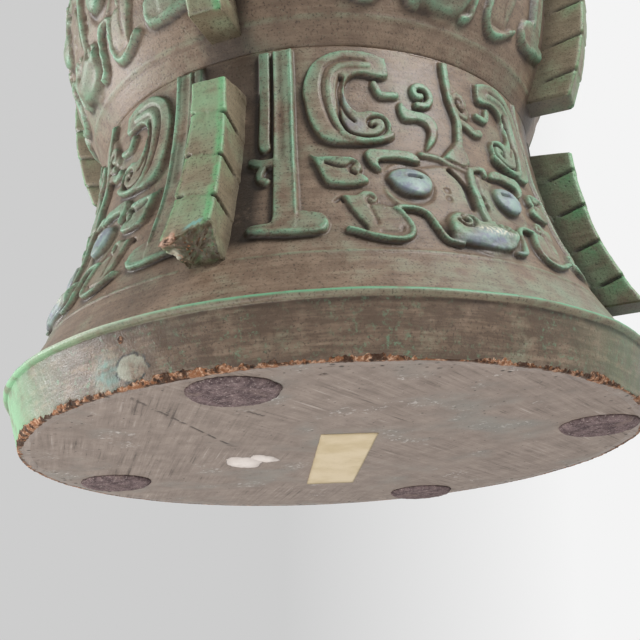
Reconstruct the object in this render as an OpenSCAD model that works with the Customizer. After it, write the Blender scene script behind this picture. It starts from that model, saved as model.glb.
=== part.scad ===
// Zun wine vessel: a trumpet neck and a swelling belly on a tall flared foot, with notched flanges
// up the four sides, raised animal masks round foot and belly, rising leaf blades round the neck,
// a closed base and felt pads under it.
// Millimetres, +Z up. The origin is the centre of the footprint, on the underside of the pads.
// The front flange is at -Y. Heights in the values below are counted from the ground base face.

/* [Foot] */
// Radius of the ground base face
base_r = 76; // [66:0.5:90]
// Height of the plain band at the bottom of the foot
band_h = 12; // [9:0.5:15]
// Outer radius of the bead on top of the band
bead_r = 80; // [78:0.5:94]
// Thickness of the bead
bead_d = 2.4; // [1.6:0.1:3]
// Height of the foot
foot_h = 80; // [76:1:92]
// Radius where the foot meets the belly
waist_r = 57.6; // [54:0.2:64]
// Radius of the hollow curve of the foot wall
foot_curve_r = 130; // [100:1:200]
// Wall of the foot casting
foot_wall = 6; // [5:0.25:7]

/* [Base] */
// Thickness of the plate that closes the foot
plate_t = 5; // [3:0.25:7]
// Width of the casting's bare edge round the plate
rim_w = 3; // [2:0.25:4]
// Width of the ledge that the plate seats on
ledge_w = 4; // [3:0.25:6]
// Gap round the plate
plate_clear = 0.15; // [0.1:0.05:0.4]

/* [Belly] */
// Height of the belly
belly_h = 80; // [70:1:95]
// How far the belly swells past its two ends
belly_swell = 11; // [7:0.5:15]
// Wall of the belly casting
belly_wall = 5; // [4:0.25:6]
// Thickness of the floor between belly and foot
floor_t = 5; // [4:0.25:8]

/* [Neck] */
// Radius where the neck meets the belly
collar_r = 57; // [54:0.2:62]
// Height of the neck
neck_h = 130; // [110:1:150]
// Radius of the mouth over its lip
mouth_r = 115; // [100:1:125]
// Wall of the neck casting
neck_wall = 4.5; // [3.5:0.25:6]
// Thickness of the rounded lip
lip_d = 6; // [5:0.25:8]

/* [Spigot joints] */
// Length of each spigot
spigot_l = 6; // [4:0.5:9]
// Width of the shoulder outside a spigot
shoulder_w = 5.5; // [4.5:0.25:7]
// Wall of a spigot
spigot_wall = 5; // [3:0.25:6]
// Gap round and below a spigot
spigot_clear = 0.2; // [0.1:0.05:0.5]

/* [Flanges] */
// Thickness of a flange
flange_t = 7.9; // [6:0.1:10]
// Depth of a flange's tongue in the wall
flange_seat = 2; // [1:0.25:3]
// Gap between a tongue and its slot
flange_clear = 0.15; // [0.1:0.05:0.3]
// Height of the lower end of a foot flange
foot_flange_low = 25.4; // [22:0.2:30]
// Height of the upper end of a foot flange
foot_flange_top = 67.6; // [60:0.2:70]
// Outer radius at the upper end of a foot flange
foot_flange_r = 68.6; // [67:0.2:76]
// Radius of the hollow outer edge of a foot flange
foot_flange_curve_r = 87; // [75:1:120]
// Height that a belly flange stands off the belly
belly_flange_rise = 10; // [8:0.5:13]
// Length that the belly is bare below its flange
belly_flange_low = 4; // [0.5:0.25:6]
// Length that the belly is bare above its flange
belly_flange_top = 12; // [8:0.5:18]
// Height that a neck flange stands off the neck
neck_flange_rise = 9; // [6:0.5:12]
// Length that the neck is bare below its flange
neck_flange_low = 2; // [0.5:0.25:8]
// Length that the neck is bare above its flange
neck_flange_top = 30; // [24:1:50]
// Distance of the first groove from a flange's upper end
groove_start = 6; // [3:0.25:8]
// Distance between two grooves on a flange
groove_pitch = 10.2; // [8:0.1:14]
// Width of a groove
groove_w = 1.4; // [0.8:0.1:2]
// Depth of a groove
groove_d = 0.9; // [0.4:0.1:1.5]
// Length of a groove from the outer edge inwards
groove_reach = 6; // [3:0.25:7]

/* [Masks and blades] */
// Height that a mask stands off its wall
relief_h = 2; // [1:0.1:3]
// Angle that a mask's middle leans from the middle between two flanges
mask_lean = 3; // [-4:0.5:4]
// Radius of an eye boss
eye_r = 5.8; // [5:0.1:6.4]
// Height that an eye stands off its wall
eye_rise = 3.2; // [2:0.1:4]
// Height that a leaf blade stands off the neck
leaf_h = 1.8; // [1:0.1:3]

/* [Pads and label] */
// Diameter of a felt pad
felt_d = 19; // [13:0.5:22]
// Thickness of a felt pad
felt_t = 1.2; // [0.8:0.1:3]
// Width of the paper label
label_w = 13.5; // [8:0.5:20]
// Length of the paper label
label_l = 60; // [40:1:80]
// Thickness of the paper label
label_t = 0.2; // [0.1:0.05:0.4]
// Turn of the label from the front-to-back line
label_turn = 24; // [0:1:90]

/* [Hidden] */
$fn = 180;
sides = ["front", "right", "back", "left"];
side_angle = [-90, 0, 90, 180];
// A pad's turn from its flange and its middle's distance from the base edge, as stuck on by hand
felt_place = [[2, 12], [4.5, 11], [-5, 10], [0, 13.5]];
label_centre = [-1.6, 9];
eps = 0.5;

function left_of(d) = [-d[1], d[0]];
function unit(v) = v / norm(v);
// Middle of the circle of radius r through p and q, on the right hand of the way from p to q
function circle_centre(p, q, r) =
    (p + q) / 2 - sqrt(r * r - pow(norm(q - p) / 2, 2)) * unit(left_of(q - p));

belly_z = foot_h;
neck_z = foot_h + belly_h;
top_z = neck_z + neck_h;
foot_low = [bead_r - bead_d, band_h];
foot_top = [waist_r, foot_h];
foot_centre = circle_centre(foot_low, foot_top, foot_curve_r);
function foot_r(z) = foot_centre[0] - sqrt(pow(foot_curve_r, 2) - pow(z - foot_centre[1], 2));
// Each wall is made in short straight steps, which can be moved out by a distance
wall_steps = 6;
function foot_line(out) =
    [for (i = [0 : wall_steps]) let (z = band_h + (foot_h - band_h) * i / wall_steps) [foot_r(z) + out, z]];

belly_low = [waist_r, belly_z];
belly_top = [collar_r, neck_z];
belly_chord = norm(belly_top - belly_low);
belly_curve_r = (pow(belly_chord / 2, 2) + pow(belly_swell, 2)) / (2 * belly_swell);
belly_centre = circle_centre(belly_top, belly_low, belly_curve_r);
belly_reach = belly_centre[0] + belly_curve_r + belly_flange_rise;
function belly_r(z) = belly_centre[0] + sqrt(pow(belly_curve_r, 2) - pow(z - belly_centre[1], 2));
function belly_line(out) =
    [for (i = [0 : wall_steps]) let (z = belly_z + belly_h * i / wall_steps) [belly_r(z) + out, z]];

lip_z = top_z - lip_d / 2;
neck_low = [collar_r, neck_z];
neck_top = [mouth_r - lip_d / 2, lip_z];
neck_rise = neck_top - neck_low;
// The neck starts upright at the collar
neck_curve_r = (pow(neck_rise[0], 2) + pow(neck_rise[1], 2)) / (2 * neck_rise[0]);
neck_centre = [collar_r + neck_curve_r, neck_z];
function neck_r(z) = neck_centre[0] - sqrt(pow(neck_curve_r, 2) - pow(z - neck_centre[1], 2));
function neck_line(out) =
    [for (i = [0 : wall_steps]) let (z = neck_z + (lip_z - neck_z) * i / wall_steps) [neck_r(z) + out, z]];

plate_r = base_r - rim_w;
foot_spigot_r = waist_r - shoulder_w;
neck_spigot_r = collar_r - shoulder_w;

foot_flange_centre = [foot_flange_r + foot_flange_curve_r, foot_flange_top];
belly_flange_span = [belly_z + belly_flange_low, neck_z - belly_flange_top];
neck_flange_span = [neck_z + neck_flange_low, top_z - neck_flange_top];
foot_flange_span = [foot_flange_low, foot_flange_top];

// Half a mask as ribbons: width, then points of degrees from the flange and height
half_mask = [
    [3.0, [[8.4, 74], [8.4, 54], [9.4, 51.5]]],
    [5.0, [[12.3, 74], [12.6, 30]]],
    [2.4, [[6.8, 31], [10, 28.8], [14.5, 28.4], [18.2, 29.2], [19.4, 31.4], [18.4, 33.4]]],
    [1.6, [[7.6, 49.4], [6.4, 46.6], [7, 44.2], [8.6, 43]]],
    [5.4, [[32, 73], [25, 73.6], [20.2, 70.5], [19.2, 64], [21, 58], [25.5, 54.8], [31, 54.4], [34, 56.4]]],
    [3.2, [[29, 65], [27.4, 61], [28.6, 58.4], [32, 58.4]]],
    [6.0, [[19.6, 46.6], [24, 44.6], [27, 43.4]]],
    [2.4, [[30, 45.8], [28.6, 48], [30.2, 49.4], [34, 49.6], [38, 48.6]]],
    [5.2, [[28.4, 38.4], [29.6, 33], [30.2, 29]]],
    [2.4, [[24.4, 29], [27.6, 27], [32, 26.8], [33.6, 29.4], [33.4, 33.4],
        [36.4, 34.8], [38.6, 32.6], [40, 28.6], [44, 26.6]]],
    [4.6, [[42.6, 34], [43.6, 30.4], [48.4, 29.6]]],
    [2.6, [[36, 63], [37.4, 60.8], [42, 60.8], [42.6, 57], [40.6, 52.4]]],
    [2.6, [[39.6, 68], [41.6, 66], [43.8, 68], [42, 70.4]]],
    [2.8, [[48, 72], [48, 56], [45.4, 50.6]]],
    [2.6, [[48, 47.5], [47.8, 35]]]
];
eye_at = [35.5, 42];
eye_sink = 3;
// Degrees that the half mask is drawn over, and the heights of the foot wall that it is drawn for
half_width = 48;
mask_drawn = [12, 80];
mask_scale = (foot_h - band_h) / (mask_drawn[1] - mask_drawn[0]);
// Main ribbons of the mask, which the belly repeats between its own two heights
belly_pick = [1, 2, 4, 6, 7, 9, 13];
belly_mask_low = 4;
belly_drawn = [22, 80];
belly_scale = (belly_h - 2 * belly_mask_low) / (belly_drawn[1] - belly_drawn[0]);

// A leaf blade as ribbons: width, then points of degrees from its spine and share of the neck's height
leaf_count = 8;
leaf_hook = [[3.4, 0.24], [8, 0.25], [11, 0.2], [9.6, 0.14], [6.4, 0.15]];
leaf_tendril = [[2.8, 0.4], [6, 0.41], [8.2, 0.37], [6.2, 0.33]];
function mirrored(pts) = [for (p = pts) [-p[0], p[1]]];
leaf_blade = [
    [2.6, [[-15.8, 0.06], [-16, 0.2], [-13.4, 0.42], [-7.6, 0.65], [0, 0.84],
        [7.6, 0.65], [13.4, 0.42], [16, 0.2], [15.8, 0.06]]],
    [2.4, [[-15.8, 0.065], [15.8, 0.065]]],
    [3, [[0, 0.06], [0, 0.6]]],
    [2.2, leaf_hook],
    [2.2, mirrored(leaf_hook)],
    [2, leaf_tendril],
    [2, mirrored(leaf_tendril)]
];

bronze = "#6f6256";
verdigris = "#6f8f78";
bare = "#8d7d70";
felt = "#554c50";
paper = "#e2cf9a";

// Everything above the pads stands on them
module on_pads() {
    translate([0, 0, felt_t])
        children();
}

// A flat outline of radius and height, stood upright on a side and given a thickness
module upright(angle, thickness) {
    rotate([0, 0, angle])
        rotate([90, 0, 0])
            translate([0, 0, -thickness / 2])
                linear_extrude(thickness)
                    children();
}

// The part of a flat outline between two heights, out to a radius
module between(low, high, reach) {
    intersection() {
        translate([0, low])
            square([reach, high - low]);
        children();
    }
}

// Outlines of radius and height for the four castings
module foot_solid() {
    polygon([[0, 0], [base_r, 0], [bead_r - bead_d / 2, band_h], [0, band_h]]);
    translate([bead_r - bead_d / 2, band_h])
        circle(d = bead_d, $fn = 32);
    polygon(concat([[0, band_h]], foot_line(0), [[0, foot_h]]));
}

module foot_hollow() {
    translate([0, -eps])
        square([plate_r + plate_clear, plate_t + eps]);
    difference() {
        square([plate_r - ledge_w, foot_h - spigot_l - spigot_clear]);
        translate(foot_centre)
            circle(foot_curve_r + foot_wall);
    }
    translate([0, foot_h - spigot_l - spigot_clear])
        square([foot_spigot_r + spigot_clear, spigot_l + spigot_clear + eps]);
}

module belly_solid() {
    polygon(concat([[0, belly_z]], belly_line(0), [[0, neck_z]]));
    translate([foot_spigot_r - spigot_wall, belly_z - spigot_l])
        square([spigot_wall, spigot_l + floor_t]);
}

module belly_hollow() {
    between(belly_z + floor_t, neck_z - spigot_l - spigot_clear - belly_wall / 2, belly_reach)
        translate(belly_centre)
            circle(belly_curve_r - belly_wall);
    translate([0, neck_z - spigot_l - spigot_clear - belly_wall / 2 - eps])
        square([neck_spigot_r + spigot_clear, spigot_l + spigot_clear + belly_wall / 2 + 2 * eps]);
}

module neck_solid() {
    polygon(concat([[0, neck_z]], neck_line(0), [[0, lip_z]]));
    translate([mouth_r - lip_d / 2, lip_z])
        circle(d = lip_d, $fn = 48);
    translate([0, neck_z - spigot_l])
        square([neck_spigot_r, spigot_l + eps]);
}

module neck_hollow() {
    difference() {
        translate([0, neck_z + neck_wall])
            square([mouth_r - lip_d, neck_h]);
        translate(neck_centre)
            circle(neck_curve_r + neck_wall);
    }
    translate([0, neck_z - spigot_l - eps])
        square([neck_spigot_r - spigot_wall, spigot_l + neck_wall + 2 * eps]);
}

// Outlines of radius and height for the flanges; grow opens them into the slots that hold them
module foot_flange_outline(grow = 0) {
    between(foot_flange_span[0] - grow, foot_flange_span[1] + grow, foot_flange_centre[0])
        difference() {
            translate(foot_centre)
                circle(foot_curve_r + flange_seat + grow);
            translate(foot_flange_centre)
                circle(foot_flange_curve_r);
        }
}

module belly_flange_outline(grow = 0) {
    between(belly_flange_span[0] - grow, belly_flange_span[1] + grow, belly_reach)
        difference() {
            translate(belly_centre)
                circle(belly_curve_r + belly_flange_rise);
            translate(belly_centre)
                circle(belly_curve_r - flange_seat - grow);
        }
}

module neck_flange_outline(grow = 0) {
    between(neck_flange_span[0] - grow, neck_flange_span[1] + grow, neck_centre[0])
        difference() {
            translate(neck_centre)
                circle(neck_curve_r + flange_seat + grow);
            translate(neck_centre)
                circle(neck_curve_r - neck_flange_rise);
        }
}

// Outer radius of each flange at a height
function foot_flange_edge(z) =
    foot_flange_centre[0] - sqrt(pow(foot_flange_curve_r, 2) - pow(z - foot_flange_centre[1], 2));
function belly_flange_edge(z) =
    belly_centre[0] + sqrt(pow(belly_curve_r + belly_flange_rise, 2) - pow(z - belly_centre[1], 2));
function neck_flange_edge(z) =
    neck_centre[0] - sqrt(pow(neck_curve_r - neck_flange_rise, 2) - pow(z - neck_centre[1], 2));

// Groove heights, evenly down from the upper end
function groove_heights(span) =
    [for (z = [span[1] - groove_start : -groove_pitch : span[0] + groove_w]) z];

// A groove runs round the outer edge of a flange and part of the way in on both faces
module groove(edge, z) {
    translate([edge - groove_reach, -flange_t / 2 - eps, z - groove_w / 2])
        difference() {
            cube([2 * groove_reach, flange_t + 2 * eps, groove_w]);
            translate([-eps, groove_d + eps, -eps])
                cube([groove_reach - groove_d + eps, flange_t - 2 * groove_d, groove_w + 2 * eps]);
        }
}

module slots() {
    for (a = side_angle)
        upright(a, flange_t + 2 * flange_clear)
            children();
}

// Ribbon of width w along a line of points, mitred at the bends
function way(pts, i) = unit(pts[min(i + 1, len(pts) - 1)] - pts[max(i - 1, 0)]);
function mitre(pts, i) =
    i == 0 || i == len(pts) - 1 ? 1 : 1 / max(0.75, way(pts, i) * unit(pts[i + 1] - pts[i]));
function beside(pts, w) =
    [for (i = [0 : len(pts) - 1]) pts[i] + left_of(way(pts, i)) * w / 2 * mitre(pts, i)];
function ribbon(pts, w) =
    let (last = len(pts) - 1, other = beside(pts, -w))
    concat(beside(pts, w), [for (i = [last : -1 : 0]) other[i]]);

// Degrees of a half mask that one drawn degree takes; hand is 1 to the right of the flange, -1 to the left
function stretch(hand) = (45 + hand * mask_lean) / half_width;
// Height on the foot or belly of a drawn height
function foot_mask_z(z) = band_h + (z - mask_drawn[0]) * mask_scale;
function belly_mask_z(z) = belly_z + belly_mask_low + (z - belly_drawn[0]) * belly_scale;
// Distance beside a half mask's middle of a drawn angle, on a wall of radius r
function aside(d, hand, r) = hand * (r + relief_h / 2) * sin((d - half_width / 2) * stretch(hand));
function foot_half(hand) =
    [for (b = half_mask) ribbon(
        [for (p = b[1]) let (z = foot_mask_z(p[1])) [aside(p[0], hand, foot_r(z)), z]], b[0] * mask_scale)];
function belly_half(hand) =
    [for (i = belly_pick) let (b = half_mask[i]) ribbon(
        [for (p = b[1]) let (z = belly_mask_z(p[1])) [aside(p[0], hand, belly_r(z)), z]],
        b[0] * belly_scale)];
leaf_ribbons =
    [for (b = leaf_blade) ribbon(
        [for (p = b[1]) let (z = neck_z + p[1] * neck_h) [neck_r(z) * sin(p[0]), z]], b[0])];

// Outlines that are stood upright and drawn outwards from half a radius
module outwards(angle, r, outlines) {
    rotate([90, 0, 90 + angle])
        translate([0, 0, r / 2])
            linear_extrude(r)
                for (o = outlines)
                    polygon(o);
}

// The skin of a wall that the ribbons are cut from
module skin(outer, inner) {
    rotate_extrude()
        polygon(concat(outer, [for (i = [len(inner) - 1 : -1 : 0]) inner[i]]));
}

// A domed eye, let into a wall of radius r
module eye(angle, hand, r, z) {
    rotate([0, 0, angle + hand * eye_at[0] * stretch(hand)])
        translate([r + eye_rise - eye_r, 0, z])
            intersection() {
                sphere(eye_r, $fn = 48);
                translate([eye_r - eye_rise - eye_sink, -eye_r, -eye_r])
                    cube(2 * eye_r);
            }
}

module foot_masks() {
    z = foot_mask_z(eye_at[1]);
    for (a = side_angle, hand = [-1, 1]) {
        intersection() {
            skin(foot_line(relief_h), foot_line(-foot_wall / 4));
            outwards(a + hand * half_width / 2 * stretch(hand), bead_r, foot_half(hand));
        }
        eye(a, hand, foot_r(z), z);
    }
}

module belly_masks() {
    z = belly_mask_z(eye_at[1]);
    for (a = side_angle, hand = [-1, 1]) {
        intersection() {
            skin(belly_line(relief_h), belly_line(-belly_wall / 4));
            outwards(a + hand * half_width / 2 * stretch(hand), belly_reach, belly_half(hand));
        }
        eye(a, hand, belly_r(z), z);
    }
}

module leaf_blades() {
    for (i = [0 : leaf_count - 1])
        intersection() {
            skin(neck_line(leaf_h), neck_line(-neck_wall / 4));
            outwards(side_angle[0] + 360 / leaf_count * (i + 0.5), mouth_r, leaf_ribbons);
        }
}

module foot_casting() {
    color(bronze)
        on_pads() {
            difference() {
                rotate_extrude()
                    difference() {
                        foot_solid();
                        foot_hollow();
                    }
                slots()
                    foot_flange_outline(flange_clear);
            }
            foot_masks();
        }
}

module base_plate() {
    color(bare)
        on_pads()
            cylinder(r = plate_r, h = plate_t);
}

module belly_casting() {
    color(bronze)
        on_pads() {
            difference() {
                rotate_extrude()
                    difference() {
                        belly_solid();
                        belly_hollow();
                    }
                slots()
                    belly_flange_outline(flange_clear);
            }
            belly_masks();
        }
}

module neck_casting() {
    color(bronze)
        on_pads() {
            difference() {
                rotate_extrude()
                    difference() {
                        neck_solid();
                        neck_hollow();
                    }
                slots()
                    neck_flange_outline(flange_clear);
            }
            leaf_blades();
        }
}

module foot_flange(side) {
    color(verdigris)
        on_pads()
            difference() {
                upright(side_angle[side], flange_t)
                    foot_flange_outline();
                rotate([0, 0, side_angle[side]])
                    for (z = groove_heights(foot_flange_span))
                        groove(foot_flange_edge(z), z);
            }
}

module belly_flange(side) {
    color(verdigris)
        on_pads()
            difference() {
                upright(side_angle[side], flange_t)
                    belly_flange_outline();
                rotate([0, 0, side_angle[side]])
                    for (z = groove_heights(belly_flange_span))
                        groove(belly_flange_edge(z), z);
            }
}

module neck_flange(side) {
    color(verdigris)
        on_pads()
            difference() {
                upright(side_angle[side], flange_t)
                    neck_flange_outline();
                rotate([0, 0, side_angle[side]])
                    for (z = groove_heights(neck_flange_span))
                        groove(neck_flange_edge(z), z);
            }
}

module felt_pad(side) {
    color(felt)
        rotate([0, 0, side_angle[side] + felt_place[side][0]])
            translate([base_r - felt_place[side][1], 0, 0])
                cylinder(d = felt_d, h = felt_t);
}

module paper_label() {
    color(paper)
        translate([label_centre[0], label_centre[1], felt_t - label_t])
            rotate([0, 0, label_turn])
                translate([-label_w / 2, -label_l / 2, 0])
                    cube([label_w, label_l, label_t]);
}

foot_casting();
base_plate();
belly_casting();
neck_casting();
for (i = [0 : 3]) {
    foot_flange(i);
    belly_flange(i);
    neck_flange(i);
    felt_pad(i);
}
paper_label();
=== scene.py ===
"""Looks of the zun wine vessel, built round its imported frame.

Sizes are in millimetres and heights are counted from the ground base face, until a mesh is made.
Angles are degrees from the front flange, growing to the right seen from the front.
"""

import logging
import math
from collections.abc import Callable
from dataclasses import dataclass, field, replace
from enum import Enum, IntEnum
from functools import cache

import bpy
import numpy as np
from mathutils import Matrix, Vector

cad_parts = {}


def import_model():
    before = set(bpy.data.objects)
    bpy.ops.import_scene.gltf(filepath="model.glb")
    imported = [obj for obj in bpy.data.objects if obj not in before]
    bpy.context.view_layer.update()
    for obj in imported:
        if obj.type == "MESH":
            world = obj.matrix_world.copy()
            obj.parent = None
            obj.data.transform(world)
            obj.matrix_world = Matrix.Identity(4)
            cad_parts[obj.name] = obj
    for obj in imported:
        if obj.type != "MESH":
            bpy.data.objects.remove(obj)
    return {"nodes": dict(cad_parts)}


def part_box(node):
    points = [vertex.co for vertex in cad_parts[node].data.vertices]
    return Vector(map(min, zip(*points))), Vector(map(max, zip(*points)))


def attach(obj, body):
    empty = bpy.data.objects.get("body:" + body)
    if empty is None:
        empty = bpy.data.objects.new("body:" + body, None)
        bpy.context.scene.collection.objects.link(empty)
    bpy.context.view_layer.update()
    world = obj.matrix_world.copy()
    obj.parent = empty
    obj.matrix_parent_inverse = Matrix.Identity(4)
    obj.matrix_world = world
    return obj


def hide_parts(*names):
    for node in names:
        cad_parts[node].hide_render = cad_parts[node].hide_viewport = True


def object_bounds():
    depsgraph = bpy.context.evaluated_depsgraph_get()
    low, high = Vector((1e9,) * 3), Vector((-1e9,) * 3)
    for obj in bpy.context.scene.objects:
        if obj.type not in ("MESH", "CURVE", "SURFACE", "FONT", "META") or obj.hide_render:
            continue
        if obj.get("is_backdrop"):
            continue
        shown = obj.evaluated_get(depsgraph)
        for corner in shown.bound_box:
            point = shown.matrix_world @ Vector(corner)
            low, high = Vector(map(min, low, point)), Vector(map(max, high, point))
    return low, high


MM = 0.001
BODY = "root"
TURN = 360.0
QUARTER = 90.0
LOG = logging.getLogger("zun")

Array = np.ndarray
Masks = dict[str, Array]
Point = tuple[float, float]
Triple = tuple[float, float, float]
Hump = Triple
Wave = tuple[float, float, int]
Piece = bpy.types.Object
Material = bpy.types.Material
Socket = bpy.types.NodeSocket
Tree = bpy.types.NodeTree


class Side(Enum):
    """The four sides of the vessel, by the angle of their flanges."""

    FRONT = 0.0
    RIGHT = 90.0
    BACK = 180.0
    LEFT = 270.0

    @property
    def tag(self) -> str:
        """The side's name as the nodes write it."""
        return self.name.lower()


class Cut(Enum):
    """How a stroke of the carving changes the surface."""

    RAISE = "up to a height"
    LIFT = "on top of what is there"
    SINK = "into what is there"


class Zone(IntEnum):
    """What a ring of the foot belongs to."""

    BASE = 0
    BAND = 1
    BEAD = 2
    WALL = 3
    INSIDE = 4


class Seed(IntEnum):
    """Seeds of the random unevenness, by what is uneven."""

    FOOT_WAVES = 5
    FOOT_GRAIN = 6
    RIM_WAVES = 11
    RIM_BREAKS = 12
    RIM_GRAIN = 13
    DROP_EDGE = 15
    DROP_LINE = 16
    SMEAR = 17
    RIM_CRUMBS = 21
    SHELL_WAVES = 31
    END_WAVES = 51
    END_BREAKS = 52
    END_GRAIN = 53
    END_DIRT = 54
    END_GREEN = 55
    END_CHIPS = 56
    END_PALE = 57
    FLANGE_WAVES = 61
    FLANGE_GRAIN = 62
    BAND_LINE = 71
    SCRATCH = 71
    CREST = 72
    CHIN = 73
    PAD_EDGE = 81
    PAD_FRAY = 82
    PAD_MATTING = 83
    PAD_NAP = 84
    LABEL_EDGE = 91
    LARGE_DAB = 101
    SMALL_DAB = 105


def srgb(code: str) -> tuple[float, float, float, float]:
    """Turns a colour as seen into the linear colour that a socket takes.

    Args:
        code: Six hexadecimal digits.

    Returns:
        Red, green, blue and an alpha of 1.
    """
    parts = [int(code[i : i + 2], 16) / 255 for i in (0, 2, 4)]
    linear = [p / 12.92 if p <= 0.04045 else ((p + 0.055) / 1.055) ** 2.4 for p in parts]
    return (linear[0], linear[1], linear[2], 1.0)


def smooth(value: Array, low: float, high: float) -> Array:
    """Rises smoothly from 0 to 1 while the value goes from low to high."""
    t = np.clip((value - low) / (high - low), 0.0, 1.0)
    return t * t * (3 - 2 * t)


def around(radius: Array, angle: Array, height: Array) -> Array:
    """Places points by radius, angle and height.

    Args:
        radius: Distances from the axis.
        angle: Degrees from the front flange.
        height: Heights above the base face.

    Returns:
        The points, with X, Y and Z on the last axis.
    """
    turn = np.radians(angle)
    parts = np.broadcast_arrays(radius * np.sin(turn), -radius * np.cos(turn), height)
    return np.stack(parts, axis=-1)


def columns_round(count: int) -> Array:
    """Angles of evenly spaced columns round the axis."""
    return np.arange(count) * TURN / count


def circle(angle: Array) -> Array:
    """Points of a circle with a radius of 1, one in a row."""
    turn = np.radians(angle)
    return np.stack([np.cos(turn), np.sin(turn)], axis=1)


def laid_out(x: Array, y: Array, z: Array, centre: Point, turn: float) -> Array:
    """Turns points by some degrees about the vertical and moves them to a centre."""
    c, s = math.cos(math.radians(turn)), math.sin(math.radians(turn))
    return np.stack([centre[0] + x * c - y * s, centre[1] + x * s + y * c, z], axis=-1)


def ripple(points: Array, size: float, seed: int, waves: int = 28) -> Array:
    """Makes a smooth random unevenness.

    Args:
        points: Places, with their coordinates on the last axis.
        size: Length of one wave.
        seed: Choice of the waves.
        waves: Number of waves that are summed.

    Returns:
        One value for each place, mostly between -1 and 1.
    """
    rng = np.random.default_rng(int(seed))
    ways = rng.normal(size=(waves, points.shape[-1]))
    length = np.linalg.norm(ways, axis=1, keepdims=True)
    ways *= rng.uniform(0.6, 1.7, (waves, 1)) * math.tau / size / length
    shifts = rng.uniform(0, math.tau, waves)
    total = np.zeros(points.shape[:-1])
    for way, shift in zip(ways, shifts):
        total += np.sin(points @ way + shift)
    return total * math.sqrt(2 / waves) / 2


def uneven(points: Array, waves: tuple[Wave, ...], start: Array | float = 0.0) -> Array:
    """Sums ripples on a start, each with its height, size and seed."""
    return sum((height * ripple(points, size, seed) for height, size, seed in waves), start)


def bump_at(angle: Array, middle: float, spread: float) -> Array:
    """A soft hump round the vessel, 1 at its middle angle."""
    away = (angle - middle + TURN / 2) % TURN - TURN / 2
    return np.exp(-((away / spread) ** 2))


def humps(angle: Array, spots: tuple[Hump, ...]) -> Array:
    """Sums soft humps round the vessel, each with its share, middle and spread."""
    return sum(share * bump_at(angle, middle, spread) for share, middle, spread in spots)


def from_flange(angle: Array) -> Array:
    """Degrees from the nearest flange."""
    return np.abs((angle + QUARTER / 2) % QUARTER - QUARTER / 2)


def blurred(values: Array, across: float, along: float) -> Array:
    """Blurs a grid that closes on itself from its last column to its first.

    Args:
        values: Rows of the grid.
        across: Spread over columns, in cells.
        along: Spread over rows, in cells.

    Returns:
        The blurred grid.
    """
    rows = values.shape[0]
    tall = np.concatenate([values, values[::-1]])
    up = np.exp(-2 * (math.pi * along * np.fft.fftfreq(2 * rows)) ** 2)
    side = np.exp(-2 * (math.pi * across * np.fft.fftfreq(values.shape[1])) ** 2)
    return np.fft.ifft2(np.fft.fft2(tall) * up[:, None] * side[None, :]).real[:rows]


def curve_through(points: Array, steps: int = 7) -> Array:
    """Rounds a line of points into a smooth curve through them.

    Args:
        points: The points, one in a row.
        steps: Steps between two points.

    Returns:
        The points of the curve.
    """
    if len(points) < 3:
        return points
    held = np.vstack([2 * points[0] - points[1], points, 2 * points[-1] - points[-2]])
    out = []
    for a, b, c, d in zip(held, held[1:], held[2:], held[3:]):
        for t in np.linspace(0, 1, steps, endpoint=False):
            straight = 2 * b + (c - a) * t
            bent = (2 * a - 5 * b + 4 * c - d) * t**2
            out.append(0.5 * (straight + bent + (3 * b - a - 3 * c + d) * t**3))
    out.append(points[-1])
    return np.array(out)


def distance_to_line(places: Array, line: Array) -> Array:
    """Distance of each place from a line of points.

    Args:
        places: The places, one in a row.
        line: The points of the line, one in a row.

    Returns:
        The distances.
    """
    best = np.full(len(places), 1e9)
    for a, b in zip(line, line[1:]):
        step = b - a
        along = np.clip((places - a) @ step / max(step @ step, 1e-9), 0, 1)
        gap = places - a - along[:, None] * step
        best = np.minimum(best, np.einsum("ij,ij->i", gap, gap))
    return np.sqrt(best)


def depth_in_patch(places: Array, outline: Array) -> Array:
    """Distance of each place inside an outline.

    Args:
        places: The places, one in a row.
        outline: The points of the outline, one in a row.

    Returns:
        The distances, negative outside.
    """
    inside = np.zeros(len(places), bool)
    for a, b in zip(outline, np.roll(outline, -1, axis=0)):
        spans = (a[1] > places[:, 1]) != (b[1] > places[:, 1])
        reach = (b[0] - a[0]) * (places[:, 1] - a[1]) / (b[1] - a[1] + 1e-12) + a[0]
        inside ^= spans & (places[:, 0] < reach)
    gap = distance_to_line(places, np.vstack([outline, outline[:1]]))
    return np.where(inside, gap, -gap)


@dataclass(frozen=True)
class Stroke:
    """One line or patch of carving, drawn in degrees from a flange and heights.

    A stroke with a width is a line. A stroke without one is a patch inside its points.
    """

    cut: Cut
    height: float
    points: tuple[Point, ...]
    width: float = 0.0
    edge: float = 0.45
    curved: bool = True

    def cover(self, places: Array, scale: float) -> Array:
        """How much of the stroke lies on each place, from 0 to 1.

        Args:
            places: Places in millimetres across and up.
            scale: Millimetres across in one degree.

        Returns:
            The cover at each place.
        """
        drawn = np.array(self.points) * (scale, 1.0)
        if self.width > 0:
            line = curve_through(drawn) if self.curved else drawn
            inside = self.width / 2 - distance_to_line(places, line)
        else:
            ring = curve_through(np.vstack([drawn, drawn[:1]]))[:-1] if self.curved else drawn
            inside = depth_in_patch(places, ring)
        return smooth(inside, -self.edge / 2, self.edge / 2)


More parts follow.
